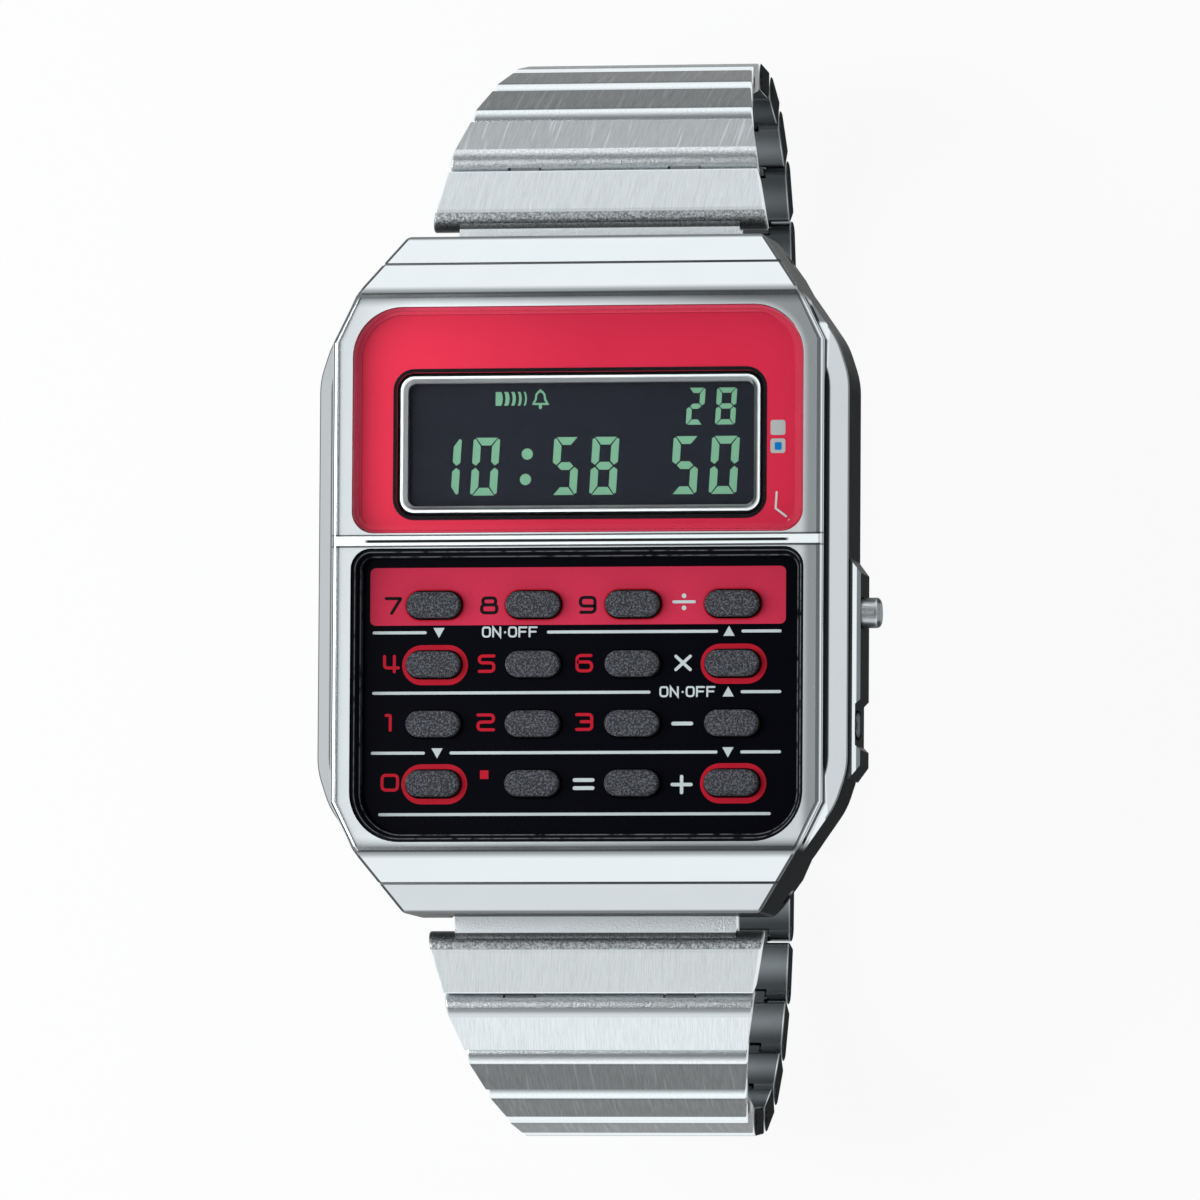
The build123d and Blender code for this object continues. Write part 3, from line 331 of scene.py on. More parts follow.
def red_print():
    """Red printed face under the window."""
    f = Finish("red_print")
    fleck = f.cells(f.spot(), 9.0).under(0.06, 0.03)
    cloud = f.noise(f.spot(), 0.35, 3.0)
    tone = f.mix(cloud, (0.68, 0.014, 0.055), (0.74, 0.020, 0.070))
    # Painted light: the red lighter towards the left
    tone = f.mix(f.x.under(-6.0, 8.0) * 0.8, tone, (0.96, 0.030, 0.085))
    tone = f.mix(fleck * 0.25, tone, (0.90, 0.12, 0.20))
    # Near the window's edge: a lighter band and a dark line, the painted highlight and painted
    # shade of the window's bevel, then a dark rim at the opening's edge
    inward = f.opening(*WINDOW_OPENING)
    tone = f.mix(inward.under(0.42, 0.02) * 0.55, tone, (0.90, 0.085, 0.17))
    tone = f.mix(inward.between(0.42, 0.47, 0.02) * 0.6, tone, (0.34, 0.006, 0.022))
    tone = f.mix(inward.under(0.11, 0.02) * 0.85, tone, (0.03, 0.004, 0.006))
    return f.done(f.surface(Base_Color=tone, Roughness=0.42, Specular_IOR_Level=0.2))


def frame_metal():
    """Polished frame of the display."""
    f = Finish("frame_metal")
    grain = f.noise(f.spot(x=1, y=1, z=8), 5.0, 3.0)
    shaded_slant = f.height.under(6.42, 0.02)
    shaded_side = f.x.over(11.0, 0.1) + f.y.under(4.1, 0.1)
    inward = f.inset(11.65, 12.6, 3.7, 1.0)
    # A bright top ring and a black outer rim; inward of the ring and on the chamfer the metal is
    # painted darker as painted shade, darkest on the right and lower sides
    tone = f.mix(inward.over(0.25, 0.03) * 0.7, grey(0.97), grey(0.30))
    tone = f.mix(inward.under(0.13, 0.02), tone, grey(0.004))
    tone = f.mix(shaded_slant, tone, grey(0.55))
    tone = f.mix(shaded_slant * shaded_side.least(1.0) * 0.9, tone, grey(0.08))
    return f.done(f.surface(Base_Color=tone, Metallic=1.0, Roughness=0.30 + grain * 0.10))


def display_glass():
    """Dark field of the display."""
    f = Finish("display_glass")
    cloud = f.noise(f.spot(), 0.5, 2.0)
    # Painted shadow: the field darker towards its upper and lower edges
    edge = abs(f.y - 8.15).over(3.55, 0.35)
    tone = f.mix(cloud * 0.4, (0.0100, 0.0125, 0.0210), (0.0125, 0.0150, 0.0245))
    tone = f.mix(edge * 0.6, tone, (0.006, 0.007, 0.010))
    return f.done(f.surface(Base_Color=tone, Roughness=0.45, Specular_IOR_Level=0.1))


def keypad_gloss():
    """Glossy black moulding with a faint mould texture, and broken painted highlight lines along
    its steps.
    """
    f = Finish("keypad_gloss")
    dust = f.cells(f.spot(), 3.2).under(0.045, 0.02)
    wave = f.noise(f.spot(), 0.6, 2.0)
    rim = f.height.over(6.30, 0.05)
    inward = f.opening(*KEYPAD_OPENING)
    # Painted highlight: broken light lines along the steps
    lines = inward.between(0.20, 0.25, 0.02) + inward.between(0.46, 0.52, 0.02)
    broken_highlight = f.noise(f.spot(), 1.6, 3.0).over(0.42, 0.12)
    tone = f.mix(dust * 0.35, (0.0015, 0.0017, 0.0040), (0.10, 0.10, 0.11))
    tone = f.mix(rim * 0.2, tone, (0.020, 0.021, 0.025))
    tone = f.mix(lines * broken_highlight * 0.8, tone, (0.20, 0.21, 0.23))
    bump = f.bump(wave, 0.01, 0.35)
    rough = 0.30 + rim * 0.06 + wave * 0.05
    sockets = {"Base_Color": tone, "Roughness": rough, "Specular_IOR_Level": 0.03, "Normal": bump}
    return f.done(f.surface(**sockets))


def key_rubber():
    """Coarsely grained matt rubber, with painted shade on the keys' sides."""
    f = Finish("key_rubber")
    grain = f.noise(f.spot(), 7.5, 2.0, 0.55)
    fine = f.noise(f.spot(), 15.0, 2.0)
    crest = (grain + fine * 0.35).over(0.68, 0.12)
    shaded_flank = f.height.under(6.70, 0.08)
    tone = f.mix(crest, (0.018, 0.020, 0.025), (0.120, 0.127, 0.148))
    tone = f.mix(shaded_flank * 0.9, tone, (0.004, 0.004, 0.005))
    bump = f.bump(crest + fine * 0.3, 0.05, 1.0)
    sockets = {"Base_Color": tone, "Roughness": 0.60 + fine * 0.1, "Specular_IOR_Level": 0.3}
    return f.done(f.surface(Normal=bump, **sockets))


def link_steel(index):
    """Brushed plate of one link, with a grained nose and bright edges."""
    f = Finish(f"link_steel_{index + 1:02d}")
    slope = math.radians(SLOPES[index])
    pin_y, pin_height = FIRST_PIN
    for angle in SLOPES[:index]:
        pin_y += PITCH * math.cos(math.radians(angle))
        pin_height -= PITCH * math.sin(math.radians(angle))
    # Places on the link: along it from its pin, and up from the pin
    out = abs(f.y) - pin_y
    up = f.height - pin_height
    along = out * math.cos(slope) - up * math.sin(slope)
    lift = out * math.sin(slope) + up * math.cos(slope)
    upper_side = f.y.over(0.0)

    tilted = {"Vector": f.place, "Angle": 0.12}
    slanted = f.node("VectorRotate", {"rotation_type": "Z_AXIS"}, tilted)
    stretch = {0: slanted, 1: (7000.0, 260.0, 260.0)}
    lines = f.node("VectorMath", {"operation": "MULTIPLY"}, stretch)
    strokes = f.noise(lines, 2.2, 6.0, 0.75)
    scratch = f.noise(lines, 0.7, 2.0).over(0.62, 0.04)
    cloud = f.noise(f.spot(), 0.5, 2.0)
    grain = f.noise(f.spot(), 7.0, 3.0, 0.7)

    wide_nose = index < 2
    edge = 0.32 if wide_nose else 0.02
    contrast = 0.35 if wide_nose else 0.6
    grain_and_shade = NOSE_GRAIN_AND_SHADE[index]
    flat = lift.over(0.97, 0.02) * along.between(edge, 3.25, 0.04)
    nose = along.under(edge, 0.06) * lift.over(-0.2, 0.1)
    if index == 1:
        nose = nose * (1 - along.over(-0.25, 0.1) * (1 - upper_side))
    inner = lift.under(-0.1, 0.2) + along.over(3.48, 0.03) * lift.under(0.9, 0.05)
    taper = (HALF_WIDTHS[index + 1] - HALF_WIDTHS[index]) / PITCH
    shaded_flank = (f.x - HALF_WIDTHS[index] - along * taper).over(-0.05, 0.03)

    # Painted light and shade: each link's tone for its upper and lower side, the rounded shoulders
    # painted lighter than the flats, the strokes a darker copy
    upper, lower = UPPER_PAINTED_SHADES[index], LOWER_PAINTED_SHADES[index]
    plain = f.mix(upper_side, grey(lower), grey(upper))
    deep = f.mix(upper_side, grey(lower * 0.55), grey(upper * 0.5))
    tone = f.mix(flat, grey(min(upper * 1.35, 0.86)), plain)
    tone = f.mix(flat * strokes.over(0.52, 0.12) * contrast, tone, deep)
    tone = f.mix(flat * scratch * 0.4, tone, grey(min(upper * 1.6, 0.92)))
    tone = f.mix(nose, tone, grey(NOSE_SHADES[index]))
    tone = f.mix(nose * grain.over(0.5, 0.2) * grain_and_shade, tone, grey(0.10))
    # Painted shade where the nose curves under
    tone = f.mix(nose * along.under(-0.25, 0.3) * grain_and_shade, tone, grey(0.05))
    # Inner faces: a painted highlight band, lighter on the upper side, with painted shade round it
    dim = f.mix(upper_side, grey(0.15), grey(0.12))
    lit = f.mix(upper_side, grey(0.95), grey(0.45))
    band = f.mix(along.between(1.0, 2.4, 0.8), dim, lit)
    tone = f.mix(inner.least(1.0) * 0.85, tone, band)
    if index == 0:
        tongue = along.under(-0.62, 0.03) * lift.over(-0.5, 0.1)
        tone = f.mix(tongue, tone, grey(0.85))

    rough = 0.20 + flat * (0.14 + strokes * 0.16) + nose * grain_and_shade * 0.25 + cloud * 0.04
    bump = f.bump(flat * strokes + nose * grain * grain_and_shade * 3.0, 0.022, 0.8)
    bright = f.surface(Base_Color=tone, Metallic=1.0, Roughness=rough, Normal=bump)
    # The flanks get the dark steel of painted shade
    return f.done(f.blend(shaded_flank, bright, f.shaded_steel(cloud, 0.13, 0.20, 0.25)))


def brushed_steel(name, shade, way, rough=0.26):
    """Plain brushed steel, its lines along one axis."""
    f = Finish(name)
    stretch = {"x": (0.2, 7.0, 7.0), "y": (7.0, 0.2, 7.0), "round": (5.0, 5.0, 0.3)}[way]
    strokes = f.noise(f.spot(*stretch), 2.0, 4.0, 0.6)
    tone = f.mix(strokes * 0.5, grey(shade), grey(shade * 0.55))
    bump = f.bump(strokes, 0.012, 0.6)
    rough = rough + strokes * 0.14
    return f.done(f.surface(Base_Color=tone, Metallic=1.0, Roughness=rough, Normal=bump))


def button_chrome(name, middle, shade):
    """Turned side button, with painted shade towards its sides and round its rim."""
    f = Finish(name)
    rings = f.noise(f.spot(x=1.2, y=9, z=9), 1.5, 4.0)
    shaded_flank = abs(f.y - middle).over(0.66, 0.22)
    rim = f.x.over(18.66, 0.03)
    tone = f.mix(rings.over(0.5, 0.15) * 0.5, grey(shade), grey(shade * 0.4))
    tone = f.mix((shaded_flank * 0.85 + rim * 0.7).least(1.0), tone, grey(0.05))
    tint = (shade * 0.7, shade * 0.75, shade * 0.76, 1.0)
    rough = 0.24 + rings * 0.1
    return f.done(f.surface(Base_Color=tone, Metallic=1.0, Roughness=rough, Specular_Tint=tint))


def plain_moulding(name, colour, spread, rough):
    """Moulded plastic or rubber with a little colour variation and grain."""
    f = Finish(name)
    cloud = f.noise(f.spot(), 1.5, 4.0)
    grain = f.noise(f.spot(), 12.0, 2.0)
    tone = f.mix(cloud, colour, spread)
    bump = f.bump(grain, 0.01, 0.5)
    return f.done(f.surface(Base_Color=tone, Roughness=rough + grain * 0.1, Normal=bump))


def board_green():
    """Circuit board with darker tracks."""
    f = Finish("board_green")
    tracks = f.cells(f.spot(), 0.9).under(0.30, 0.03)
    pads = f.cells(f.spot(), 1.6).under(0.12, 0.02)
    tone = f.mix(tracks, (0.012, 0.11, 0.035), (0.020, 0.19, 0.060))
    tone = f.mix(pads, tone, (0.75, 0.60, 0.28))
    return f.done(f.surface(Base_Color=tone, Roughness=0.35, Metallic=pads * 0.8))


def printed(name, colour, rough=0.45):
    """Ink on a moulded face, a little uneven."""
    f = Finish(name)
    cloud = f.noise(f.spot(), 3.0, 3.0)
    tone = f.mix(cloud * 0.5, colour, tuple(c * 0.82 for c in colour))
    return f.done(f.surface(Base_Color=tone, Roughness=rough, Specular_IOR_Level=0.08))


class Print:
    """Flat mesh of ink on the dial. Its shapes lie in turn on seven thin layers."""

    LAYER = 0.0015
    LAYERS = 7

    def __init__(self, name, height, material):
        self.name = name
        self.level = BACK + height + PRINT_LIFT
        self.material = material
        self.mesh = bmesh.new()
        self.count = 0

    def corners(self, points):
        level = (self.level + self.LAYER * (self.count % self.LAYERS)) * MM
        return [self.mesh.verts.new((x * MM, y * MM, level)) for x, y in points]

    def face(self, corners):
        made = self.mesh.faces.new(corners)
        made.normal_update()
        if made.normal.z < 0:
            made.normal_flip()

    def shape(self, points):
        self.face(self.corners(points))
        self.count += 1

    def band(self, one, other, closed):
        """Strip of faces between two lines with the same count of points."""
        rows = self.corners(one), self.corners(other)
        for i in range(len(one) if closed else len(one) - 1):
            j = (i + 1) % len(one)
            self.face((rows[0][i], rows[0][j], rows[1][j], rows[1][i]))
        self.count += 1

    def sheet(self, outline, holes):
        """Flat sheet with holes in it."""
        edges = []
        for loop in (outline, *holes):
            ring = self.corners(loop)
            edges += [self.mesh.edges.new((a, b)) for a, b in zip(ring, ring[1:] + ring[:1])]
        made = bmesh.ops.triangle_fill(self.mesh, edges=edges, use_beauty=True, normal=(0, 0, 1))
        for part in made["geom"]:
            if isinstance(part, bmesh.types.BMFace) and part.normal.z < 0:
                part.normal_flip()
        self.count += 1

    def disc(self, x, y, radius, count=20):
        angles = [math.tau * i / count for i in range(count)]
        self.shape([(x + radius * math.cos(a), y + radius * math.sin(a)) for a in angles])

    def stroke(self, points, width):
        """Line of even width with round ends and mitred corners."""
        shortest = 0.004
        points = [Vector(point) for point in points]
        line = points[:1] + [b for a, b in zip(points, points[1:]) if (b - a).length > shortest]
        half = width / 2
        left, right = [], []
        for i, point in enumerate(line):
            back = (point - line[i - 1]).normalized() if i else None
            ahead = (line[i + 1] - point).normalized() if i + 1 < len(line) else None
            way = ((back or ahead) + (ahead or back)).normalized()
            side = Vector((-way.y, way.x))
            first = back or ahead
            reach = half / max(side.dot(Vector((-first.y, first.x))), 0.35)
            left.append(point + side * reach)
            right.append(point - side * reach)
        self.band(left, right, closed=False)
        self.shape(half_disc(line[-1], line[-1] - line[-2], half))
        self.shape(half_disc(line[0], line[0] - line[1], half))

    def put(self):
        data = bpy.data.meshes.new(self.name)
        self.mesh.to_mesh(data)
        self.mesh.free()
        data.materials.append(self.material)
        piece = bpy.data.objects.new(self.name, data)
        bpy.context.scene.collection.objects.link(piece)
        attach(piece, "head")


def half_disc(centre, way, half):
    """Half disc at the end of a stroke."""
    start = math.atan2(way.y, way.x) - math.pi / 2
    angles = [start + math.pi * i / 8 for i in range(9)]
    return [centre + half * Vector((math.cos(a), math.sin(a))) for a in angles]


def stadium(x, y, length, width, count):
    """Outline of a slot shape, centred at x, y."""
    half = width / 2
    reach = length / 2 - half
    points = []
    for centre, start in ((x + reach, -90), (x - reach, 90)):
        for i in range(count + 1):
            angle = math.radians(start + 180 * i / count)
            points.append((centre + half * math.cos(angle), y + half * math.sin(angle)))
    return points


def rounded(x0, y0, x1, y1, radius, count=5):
    """Outline of a rectangle with round corners."""
    points = []
    for cx, cy, start in (
        (x1 - radius, y1 - radius, 0),
        (x0 + radius, y1 - radius, 90),
        (x0 + radius, y0 + radius, 180),
        (x1 - radius, y0 + radius, 270),
    ):
        for i in range(count + 1):
            angle = math.radians(start + 90 * i / count)
            points.append((cx + radius * math.cos(angle), cy + radius * math.sin(angle)))
    return points


def soft(points, radius):
    """A path with its inner corners rounded."""
    path = [Vector(points[0])]
    for before, corner, after in zip(points, points[1:], points[2:]):
        before, corner, after = Vector(before), Vector(corner), Vector(after)
        one = corner + (before - corner).normalized() * min(radius, (before - corner).length / 2)
        two = corner + (after - corner).normalized() * min(radius, (after - corner).length / 2)
        for i in range(6):
            t = i / 5
            path.append(one * (1 - t) ** 2 + corner * 2 * t * (1 - t) + two * t * t)
    path.append(Vector(points[-1]))
    return path


# Plain squared numerals and letters in a unit square: strokes, each with its corners' softness
GLYPHS = {
    "0": [([(0.5, 1), (1, 1), (1, 0), (0, 0), (0, 1), (0.5, 1)], 0.3)],
    "1": [([(0.3, 1), (0.62, 1), (0.62, 0)], 0.1)],
    "2": [([(0, 1), (1, 1), (1, 0.52), (0, 0.52), (0, 0), (1, 0)], 0.26)],
    "3": [([(0, 1), (1, 1), (1, 0), (0, 0)], 0.26), ([(0.3, 0.52), (1, 0.52)], 0)],
    "4": [([(0.05, 1), (0.05, 0.25), (1, 0.25)], 0.2), ([(0.72, 1), (0.72, 0)], 0)],
    "5": [([(1, 1), (0, 1), (0, 0.55), (1, 0.55), (1, 0), (0, 0)], 0.26)],
    "6": [([(0.95, 1), (0, 1), (0, 0), (1, 0), (1, 0.58), (0, 0.58)], 0.28)],
    "7": [([(0, 1), (1, 1), (0.38, 0)], 0.08)],
    "8": [
        ([(0.5, 1), (0.92, 1), (0.92, 0.54), (0.08, 0.54), (0.08, 1), (0.5, 1)], 0.24),
        ([(0.5, 0), (1, 0), (1, 0.54), (0, 0.54), (0, 0), (0.5, 0)], 0.24),
    ],
    "9": [([(0.05, 0), (1, 0), (1, 1), (0, 1), (0, 0.42), (1, 0.42)], 0.28)],
    "O": [([(0.5, 1), (1, 1), (1, 0), (0, 0), (0, 1), (0.5, 1)], 0.34)],
    "N": [([(0, 0), (0, 1), (1, 0), (1, 1)], 0)],
    "F": [([(1, 1), (0, 1), (0, 0)], 0), ([(0, 0.52), (0.85, 0.52)], 0)],
}


def write(ink, text, x0, y0, width, height, line, gap=0.0):
    """Writes numerals or letters from x0, y0, each of that width and height."""
    for letter in text:
        for points, softness in GLYPHS[letter]:
            placed = [(x0 + px * width, y0 + py * height) for px, py in points]
            path = soft(placed, softness * height) if softness else [Vector(p) for p in placed]
            ink.stroke(path, line)
        x0 += width + gap


class Level:
    """A level of the dial, on which columns and rows of the photograph's frame are placed."""

    def __init__(self, height, scale, column, row):
        self.height = height
        self.scale = scale
        self.column = column
        self.row = row

    def x(self, column):
        return (column - self.column) / self.scale

    def y(self, row):
        return (self.row - row) / self.scale

    def at(self, column, row):
        return self.x(column), self.y(row)


TRAY = Level(6.2, 15.79, 580.55, 572.7)
SCREEN = Level(5.7, 15.81, 581.86, 573.18)
PLATE = Level(6.55, 15.76, 579.58, 572.2)


def key_centre(name):
    low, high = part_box(f"key_{name}")
    middle = (low + high) / 2 / MM
    return middle.x, middle.y


CHROME = case_chrome()
GLASS = clear_window()
RED = red_print()
FRAME_METAL = frame_metal()
DISPLAY = display_glass()
KEYPAD = keypad_gloss()
KEY = key_rubber()
PROUD_BUTTON = button_chrome("proud_button", -2.47, 0.85)
# The flush button is a darker copy of the same chrome: painted shade
SHADED_FLUSH_BUTTON = button_chrome("shaded_flush_button", -9.58, 0.14)
COVER = brushed_steel("cover_brushed", 0.50, "x")
CLASP = brushed_steel("clasp_brushed", 0.58, "y")
SCREW = brushed_steel("screw_steel", 0.45, "round")
CELL = brushed_steel("cell_steel", 0.60, "round", 0.2)
SPRING = brushed_steel("spring_steel", 0.55, "x")
BRASS = plain_moulding("disc_brass", (0.62, 0.42, 0.14), (0.72, 0.52, 0.20), 0.35)
MAT = plain_moulding("mat_rubber", (0.30, 0.30, 0.30), (0.42, 0.42, 0.42), 0.7)
SEAL = plain_moulding("seal_rubber", (0.010, 0.010, 0.011), (0.020, 0.020, 0.022), 0.6)
MODULE = plain_moulding("module_plastic", (0.018, 0.018, 0.020), (0.034, 0.034, 0.037), 0.5)
BOARD = board_green()
LINKS = [link_steel(i) for i in range(len(SLOPES))]

dress = {
    "case": CHROME, "window": GLASS, "face_plate": RED, "display_frame": FRAME_METAL,
    "display_panel": DISPLAY, "keypad_panel": KEYPAD, "key_mat": MAT, "module_frame": MODULE,
    "circuit_board": BOARD, "battery": CELL, "battery_clip": SPRING, "buzzer": BRASS,
    "back_gasket": SEAL, "back_cover": COVER, "back_screws": SCREW, "spring_bars": SCREW,
    "button_seals": SEAL, "side_button_1": PROUD_BUTTON, "side_button_2": SHADED_FLUSH_BUTTON,
    "clasp_inner_leaf": CLASP, "clasp_middle_leaf": CLASP, "clasp_cover": CLASP,
}
for name, node in nodes.items():
    if name.startswith("key_") and name != "key_mat":
        finish = KEY
    elif name.startswith("link_"):
        finish = LINKS[int(name[-2:]) - 1]
    else:
        finish = dress[name]
    if not node.material_slots:
        node.data.materials.append(finish)
    for slot in node.material_slots:
        slot.material = finish

WHITE_INK = printed("white_ink", (0.62, 0.70, 0.72))
RED_INK = printed("red_ink", (0.55, 0.010, 0.030))
STRIP_INK = printed("strip_ink", (0.66, 0.032, 0.082))
BLACK_INK = printed("black_ink", (0.004, 0.004, 0.006))

# Prints on the keypad: red strip with a hole round each key of the upper row
KEY_HOLE = (3.69, 1.87)
strip = Print("keypad_red_strip", TRAY.height, STRIP_INK)
strip_holes = [stadium(*key_centre(name), *KEY_HOLE, 12) for name in KEY_NAMES[0]]
strip.sheet(rounded(-13.5, -3.3, 13.15, 0.36, 0.36), strip_holes)
strip.put()
hole_edges = Print("keypad_strip_hole_edges", TRAY.height + COAT, RED_INK)
for name in KEY_NAMES[0]:
    cx, cy = key_centre(name)
    hole_edges.band(
        stadium(cx, cy, 3.86, 2.04, 12), stadium(cx, cy, *KEY_HOLE, 12), closed=True
    )
hole_edges.put()


def numeral(ink, text, left, right, top, low):
    """Numeral of the keypad that fills those columns and rows of the frame."""
    edge = 1.6
    place = TRAY.at(left + edge, low - edge)
    width = (right - left - 2 * edge) / TRAY.scale
    height = (low - top - 2 * edge) / TRAY.scale
    write(ink, text, *place, width, height, 0.195)


# Rings, red numerals and the point
red_marks = Print("keypad_rings", TRAY.height, RED_INK)
for name in ("4", "times", "0", "plus"):
    cx, cy = key_centre(name)
    red_marks.band(
        stadium(cx + 0.06, cy - 0.02, 4.24, 2.54, 14), stadium(cx, cy, *KEY_HOLE, 14), closed=True
    )
for text, left, right, top, low in (
    ("4", 380, 398, 654, 672.5), ("5", 477, 495, 654, 672.5), ("6", 576, 594, 654, 672.5),
    ("1", 379, 395, 713, 731), ("2", 476, 495, 713, 731), ("3", 576, 594.5, 713, 731),
    ("0", 379, 398, 773, 791),
):
    numeral(red_marks, text, left, right, top, low)
red_marks.shape([
    TRAY.at(480, 778.6), TRAY.at(488.6, 778.6), TRAY.at(488.6, 770), TRAY.at(480, 770)
])
red_marks.put()

black_marks = Print("keypad_black_numerals", TRAY.height + COAT, BLACK_INK)
for text, left, right in (("7", 382, 400), ("8", 479, 497.5), ("9", 579, 597)):
    numeral(black_marks, text, left, right, 596, 614)
black_marks.put()

# White rules, arrows and words
white_marks = Print("keypad_white_print", TRAY.height + COAT, WHITE_INK)
RULE_END = 1.5
for row, *spans in (
    (632, (370, 425), (547, 720), (743.5, 784)),
    (692.5, (370, 652), (743, 784)),
    (752.5, (369, 424), (449, 720), (743, 784)),
    (814, (377, 774)),
):
    for left, right in spans:
        white_marks.stroke([TRAY.at(left + RULE_END, row), TRAY.at(right - RULE_END, row)], 0.19)
for column, row, way in (
    (437.5, 632, -1), (731, 632, 1), (730.5, 692.5, 1), (436.3, 752.5, -1), (730.5, 752.5, -1),
):
    cx, cy = TRAY.at(column, row)
    base, peak = cy - way * 0.30, cy + way * 0.34
    white_marks.shape([(cx - 0.36, base), (cx + 0.36, base), (cx, peak)])
for left, row in ((482, 632), (662, 692.5)):
    x = TRAY.x(left)
    for text in ("ON", "OFF"):
        write(white_marks, text, x, TRAY.y(row + 4.3), 0.46, 0.58, 0.12, 0.20)
        x += len(text) * 0.66 + 0.26
        if text == "ON":
            white_marks.disc(x - 0.15, TRAY.y(row), 0.07)
            x += 0.10


def dash(column, row, half_x, half_y, line):
    """Stroke of a sign, its middle there, from one corner of its box to the opposite one."""
    cx, cy = TRAY.at(column, row)
    white_marks.stroke([(cx - half_x, cy - half_y), (cx + half_x, cy + half_y)], line)


# Signs of the four calculations and the equals sign
dash(685.5, 602.5, 0.66, 0.0, 0.19)
cx, cy = TRAY.at(685.5, 602.5)
for dy in (-0.38, 0.38):
    white_marks.disc(cx, cy + dy, 0.15)
dash(684.8, 663.5, 0.46, 0.42, 0.20)
dash(684.8, 663.5, 0.46, -0.42, 0.20)
dash(684.3, 724, 0.58, 0.0, 0.24)
for row in (780, 788):
    dash(585, row, 0.58, 0.0, 0.24)
dash(684, 784.8, 0.60, 0.0, 0.22)
dash(684, 784.8, 0.0, 0.50, 0.22)
white_marks.put()

# Display: segments of the time, small figures above, level and bell signs
DIGIT_INK = printed("digit_green", (0.225, 0.50, 0.325), 0.5)
segments = Print("display_segments", SCREEN.height, DIGIT_INK)
SEGMENTS = {
    "0": "abcdef", "1": "bc", "2": "abged", "3": "abgcd", "4": "fgbc",
    "5": "afgcd", "6": "afgedc", "7": "abc", "8": "abcdefg", "9": "abcdfg",
}


def figure(digit, left, low, width, height, bar, lean):
    """Seven-segment figure, slanted."""
    gap = bar * 0.14
    half = bar / 2
    mid = height / 2
    level = [(gap + bar * 0.2, height), (width - gap - bar * 0.2, height),
             (width - bar - gap, height - bar), (bar + gap, height - bar)]
    upright = [(0, height - gap * 2), (bar * 0.3, height - gap), (bar, height - bar - gap),
               (bar, mid + half + gap), (half, mid + gap), (0, mid + half)]
    shapes = {
        "a": level,
        "b": [(width - x, y) for x, y in upright],
        "c": [(width - x, height - y) for x, y in upright],
        "d": [(x, height - y) for x, y in level],
        "e": [(x, height - y) for x, y in upright],
        "f": upright,
        "g": [(half + gap, mid), (bar + gap, mid + half), (width - bar - gap, mid + half),
              (width - half - gap, mid), (width - bar - gap, mid - half), (bar + gap, mid - half)],
    }
    for name in SEGMENTS[digit]:
        segments.shape([(left + x + lean * y / height, low + y) for x, y in shapes[name]])


TIME = (
    ("1", 431, 460), ("0", 468.5, 499), ("5", 550.5, 580), ("8", 589.5, 620),
    ("5", 671.5, 701.5), ("0", 710.5, 742),
)
SMALL = (("2", 687, 707), ("8", 716.5, 739))
for digits, top, low, line, lean in (
    (TIME, 437, 495, 0.49, 0.22),
    (SMALL, 388.5, 425.5, 0.33, 0.14),
):
    height = (low - top) / SCREEN.scale
    for digit, left, right in digits:
        width = (right - left) / SCREEN.scale - lean
        figure(digit, *SCREEN.at(left, low), width, height, line, lean)
for column, row in ((526.5, 453.7), (524.8, 479.2)):
    segments.disc(*SCREEN.at(column, row), 0.36, 24)
# Level sign: a full bar and four bent ones
BULGE = ((0.0, 0.0), (0.07, 0.2), (0.10, 0.5), (0.07, 0.8), (0.0, 1.0))
top, low = SCREEN.y(391.2), SCREEN.y(405)
for left, right, hollow in (
    (494, 501.3, 0.0), (502.6, 508.2, 1.0), (509.8, 514.6, 1.0), (516.4, 520.6, 1.0),
    (522.4, 525.8, 1.0),
):
    x0, x1 = SCREEN.x(left), SCREEN.x(right) - 0.10
    front = [(x1 + dx, low + (top - low) * share) for dx, share in BULGE]
    rear = [(x0 + dx * hollow, low + (top - low) * share) for dx, share in reversed(BULGE)]
    segments.shape(front + rear)
cx = SCREEN.x(539.5)
bell = [(cx + dx, SCREEN.y(row)) for dx, row in (
    (-0.46, 403.5), (-0.30, 399), (-0.26, 394), (-0.10, 391), (0.10, 391), (0.26, 394),
    (0.30, 399), (0.46, 403.5), (-0.46, 403.5),
)]
segments.stroke(bell, 0.13)
segments.stroke([(cx, SCREEN.y(405)), (cx, SCREEN.y(407))], 0.2)
segments.stroke([(cx, SCREEN.y(391)), (cx, SCREEN.y(389.5))], 0.12)
segments.put()

# Red plate: the black line round the display and the marks beside it
surround = Print("display_surround", PLATE.height, BLACK_INK)
surround.band(
    rounded(-11.98, 3.34, 11.98, 12.95, 1.36, 8),
    rounded(-11.74, 3.6, 11.74, 12.71, 1.1, 8),
    closed=True,
)
surround.put()
marks = Print("plate_marks", PLATE.height, printed("mark_grey", (0.48, 0.50, 0.50)))
for top, low in ((422, 437), (440.5, 455)):
    marks.shape(rounded(*PLATE.at(772, low), *PLATE.at(787, top), 0.16))
marks.put()
blue = Print("plate_mark_blue", PLATE.height + COAT, printed("mark_blue", (0.0, 0.19, 0.55)))
blue.shape(rounded(*PLATE.at(776.3, 451.8), *PLATE.at(783.2, 444.2), 0.08))
blue.put()
pointer = Print("plate_pointer", PLATE.height, WHITE_INK)
pointer.stroke([PLATE.at(778.5, 494), PLATE.at(777.5, 510), PLATE.at(788, 518)], 0.13)
pointer.put()


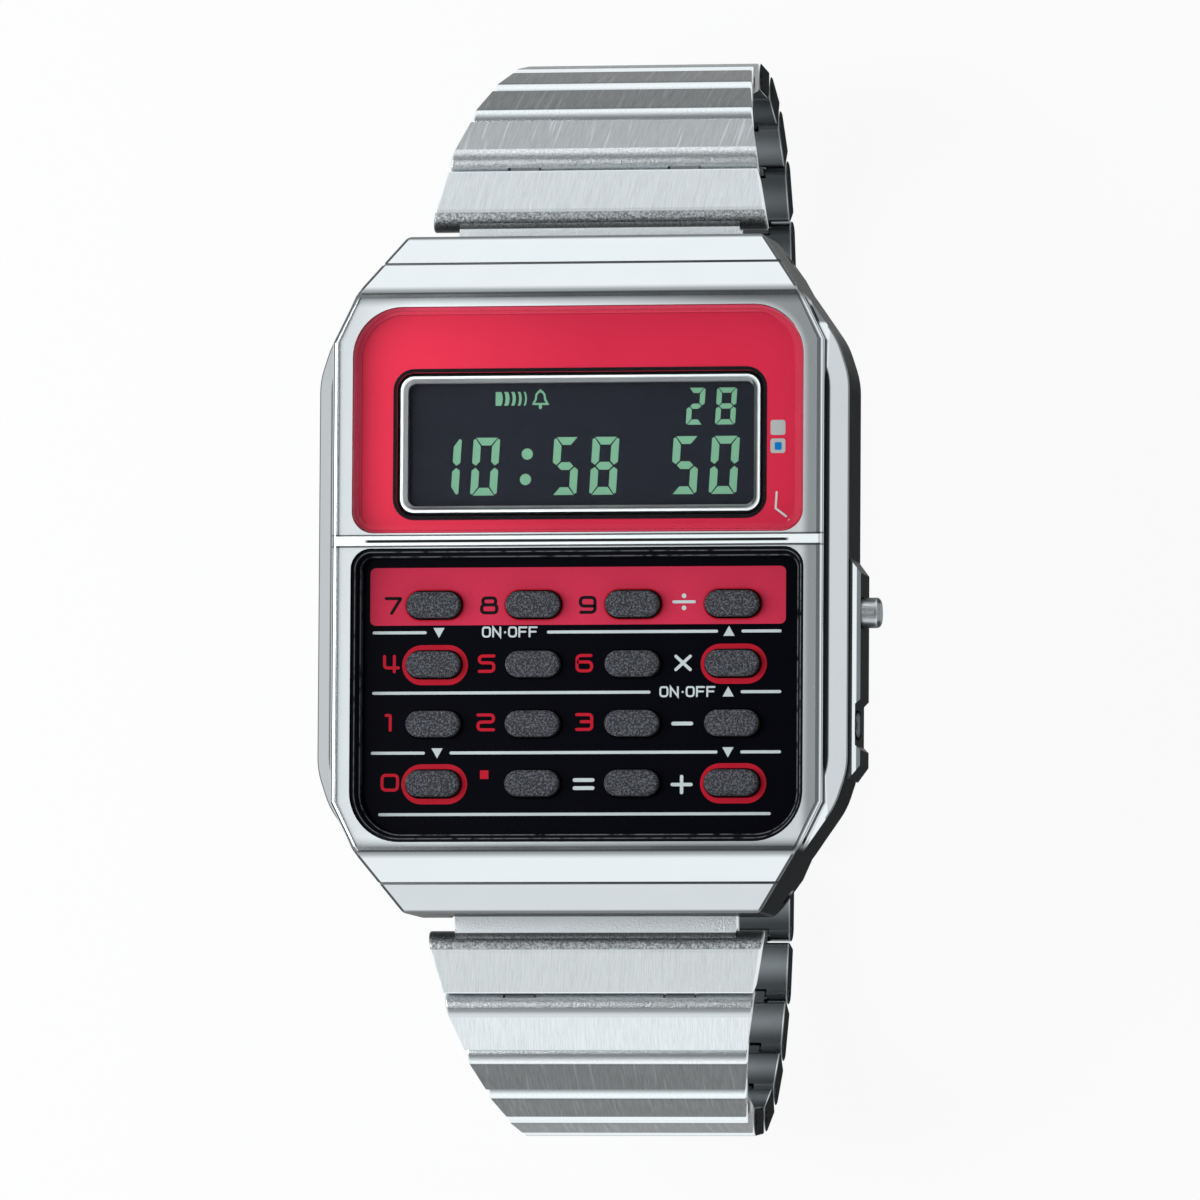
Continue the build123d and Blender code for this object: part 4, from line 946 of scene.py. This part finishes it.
def studio_floor():
    """Pale floor, brighter to the camera and in reflections than as a source of light."""
    f = Finish("studio_floor")
    cloud = f.noise(f.spot(), 0.01, 2.0)
    tone = f.mix(cloud * 0.1, (0.86, 0.87, 0.88), (0.82, 0.83, 0.84))
    matt = f.surface(Base_Color=tone, Roughness=0.7)
    white = f.node("Emission", None, {"Color": (1.0, 1.0, 1.0), "Strength": 1.0})
    camera_ray = f.node("LightPath", output="Is Camera Ray")
    glossy_ray = f.node("LightPath", output="Is Glossy Ray")
    window_ray = f.node("LightPath", output="Is Transmission Ray")
    seen = (camera_ray + glossy_ray + window_ray).over(0.5, 0.1)
    return f.done(f.blend(seen * 0.90, matt, white))


# Floor, world, lamp; lengths in metres
REACH = 3.0
corners = [(-REACH, -REACH, 0), (REACH, -REACH, 0), (REACH, REACH, 0), (-REACH, REACH, 0)]
floor_mesh = bpy.data.meshes.new("studio_floor")
floor_mesh.from_pydata(corners, [], [(0, 1, 2, 3)])
floor_mesh.materials.append(studio_floor())
floor = bpy.data.objects.new("studio_floor", floor_mesh)
bpy.context.scene.collection.objects.link(floor)

world = bpy.data.worlds.new("studio")
bpy.context.scene.world = world
sky = Shading(world, "Generated")
sky_tone = sky.mix(sky.axes[2].over(0.65, 0.35), (1.06, 1.07, 1.08), (0.13, 0.135, 0.14))
sky_light = sky.node("Background", None, {"Color": sky_tone, "Strength": 1.0})
sky.node("OutputWorld", None, {"Surface": sky_light}, output=None)

lamp_data = bpy.data.lights.new("left_panel", "AREA")
lamp_data.shape = "RECTANGLE"
lamp_data.size, lamp_data.size_y = 0.12, 0.26
lamp_data.energy = 0.42
lamp = bpy.data.objects.new("left_panel", lamp_data)
lamp.location = (-0.17, 0.0, 0.20)
lamp_way = Vector((0, 0, 0.03)) - lamp.location
lamp.rotation_euler = lamp_way.to_track_quat("-Z", "Y").to_euler()
lamp.visible_camera = False
bpy.context.scene.collection.objects.link(lamp)

# Camera fitted to the photograph: side of its frame and the dial's middle in pixels,
# distance and sensor in millimetres, pixels to the millimetre at the dial, angles in degrees
FRAME_SIDE = 1200
DIAL_MIDDLE = (582.4, 573.4)
DIAL_SCALE = 15.813
DIAL_HEIGHT = 5.5
DISTANCE = 850
SENSOR = 36.0
TURN, NOD, ROLL = 9.79, 4.05, 0.35
camera_data = bpy.data.cameras.new("camera")
camera_data.sensor_width = SENSOR
camera_data.lens = SENSOR * DISTANCE * DIAL_SCALE / FRAME_SIDE
camera_data.shift_x = (FRAME_SIDE / 2 - DIAL_MIDDLE[0]) / FRAME_SIDE
camera_data.shift_y = -(FRAME_SIDE / 2 - DIAL_MIDDLE[1]) / FRAME_SIDE
camera_data.clip_start = 0.01
camera_data.clip_end = 20
turn, nod = math.radians(TURN), math.radians(NOD)
back = Vector((math.sin(turn) * math.cos(nod), -math.sin(nod), math.cos(turn) * math.cos(nod)))
up = (Vector((0, 1, 0)) - back * back.y).normalized()
right = up.cross(back)
place = Matrix.Translation(Vector((0, 0, (BACK + DIAL_HEIGHT) * MM)) + back * DISTANCE * MM)
facing = Matrix((right, up, back)).transposed().to_4x4()
roll = Matrix.Rotation(math.radians(ROLL), 4, "Z")
camera = bpy.data.objects.new("camera", camera_data)
camera.matrix_world = place @ facing @ roll
bpy.context.scene.collection.objects.link(camera)
bpy.context.scene.camera = camera
bpy.context.scene.view_settings.view_transform = "Standard"
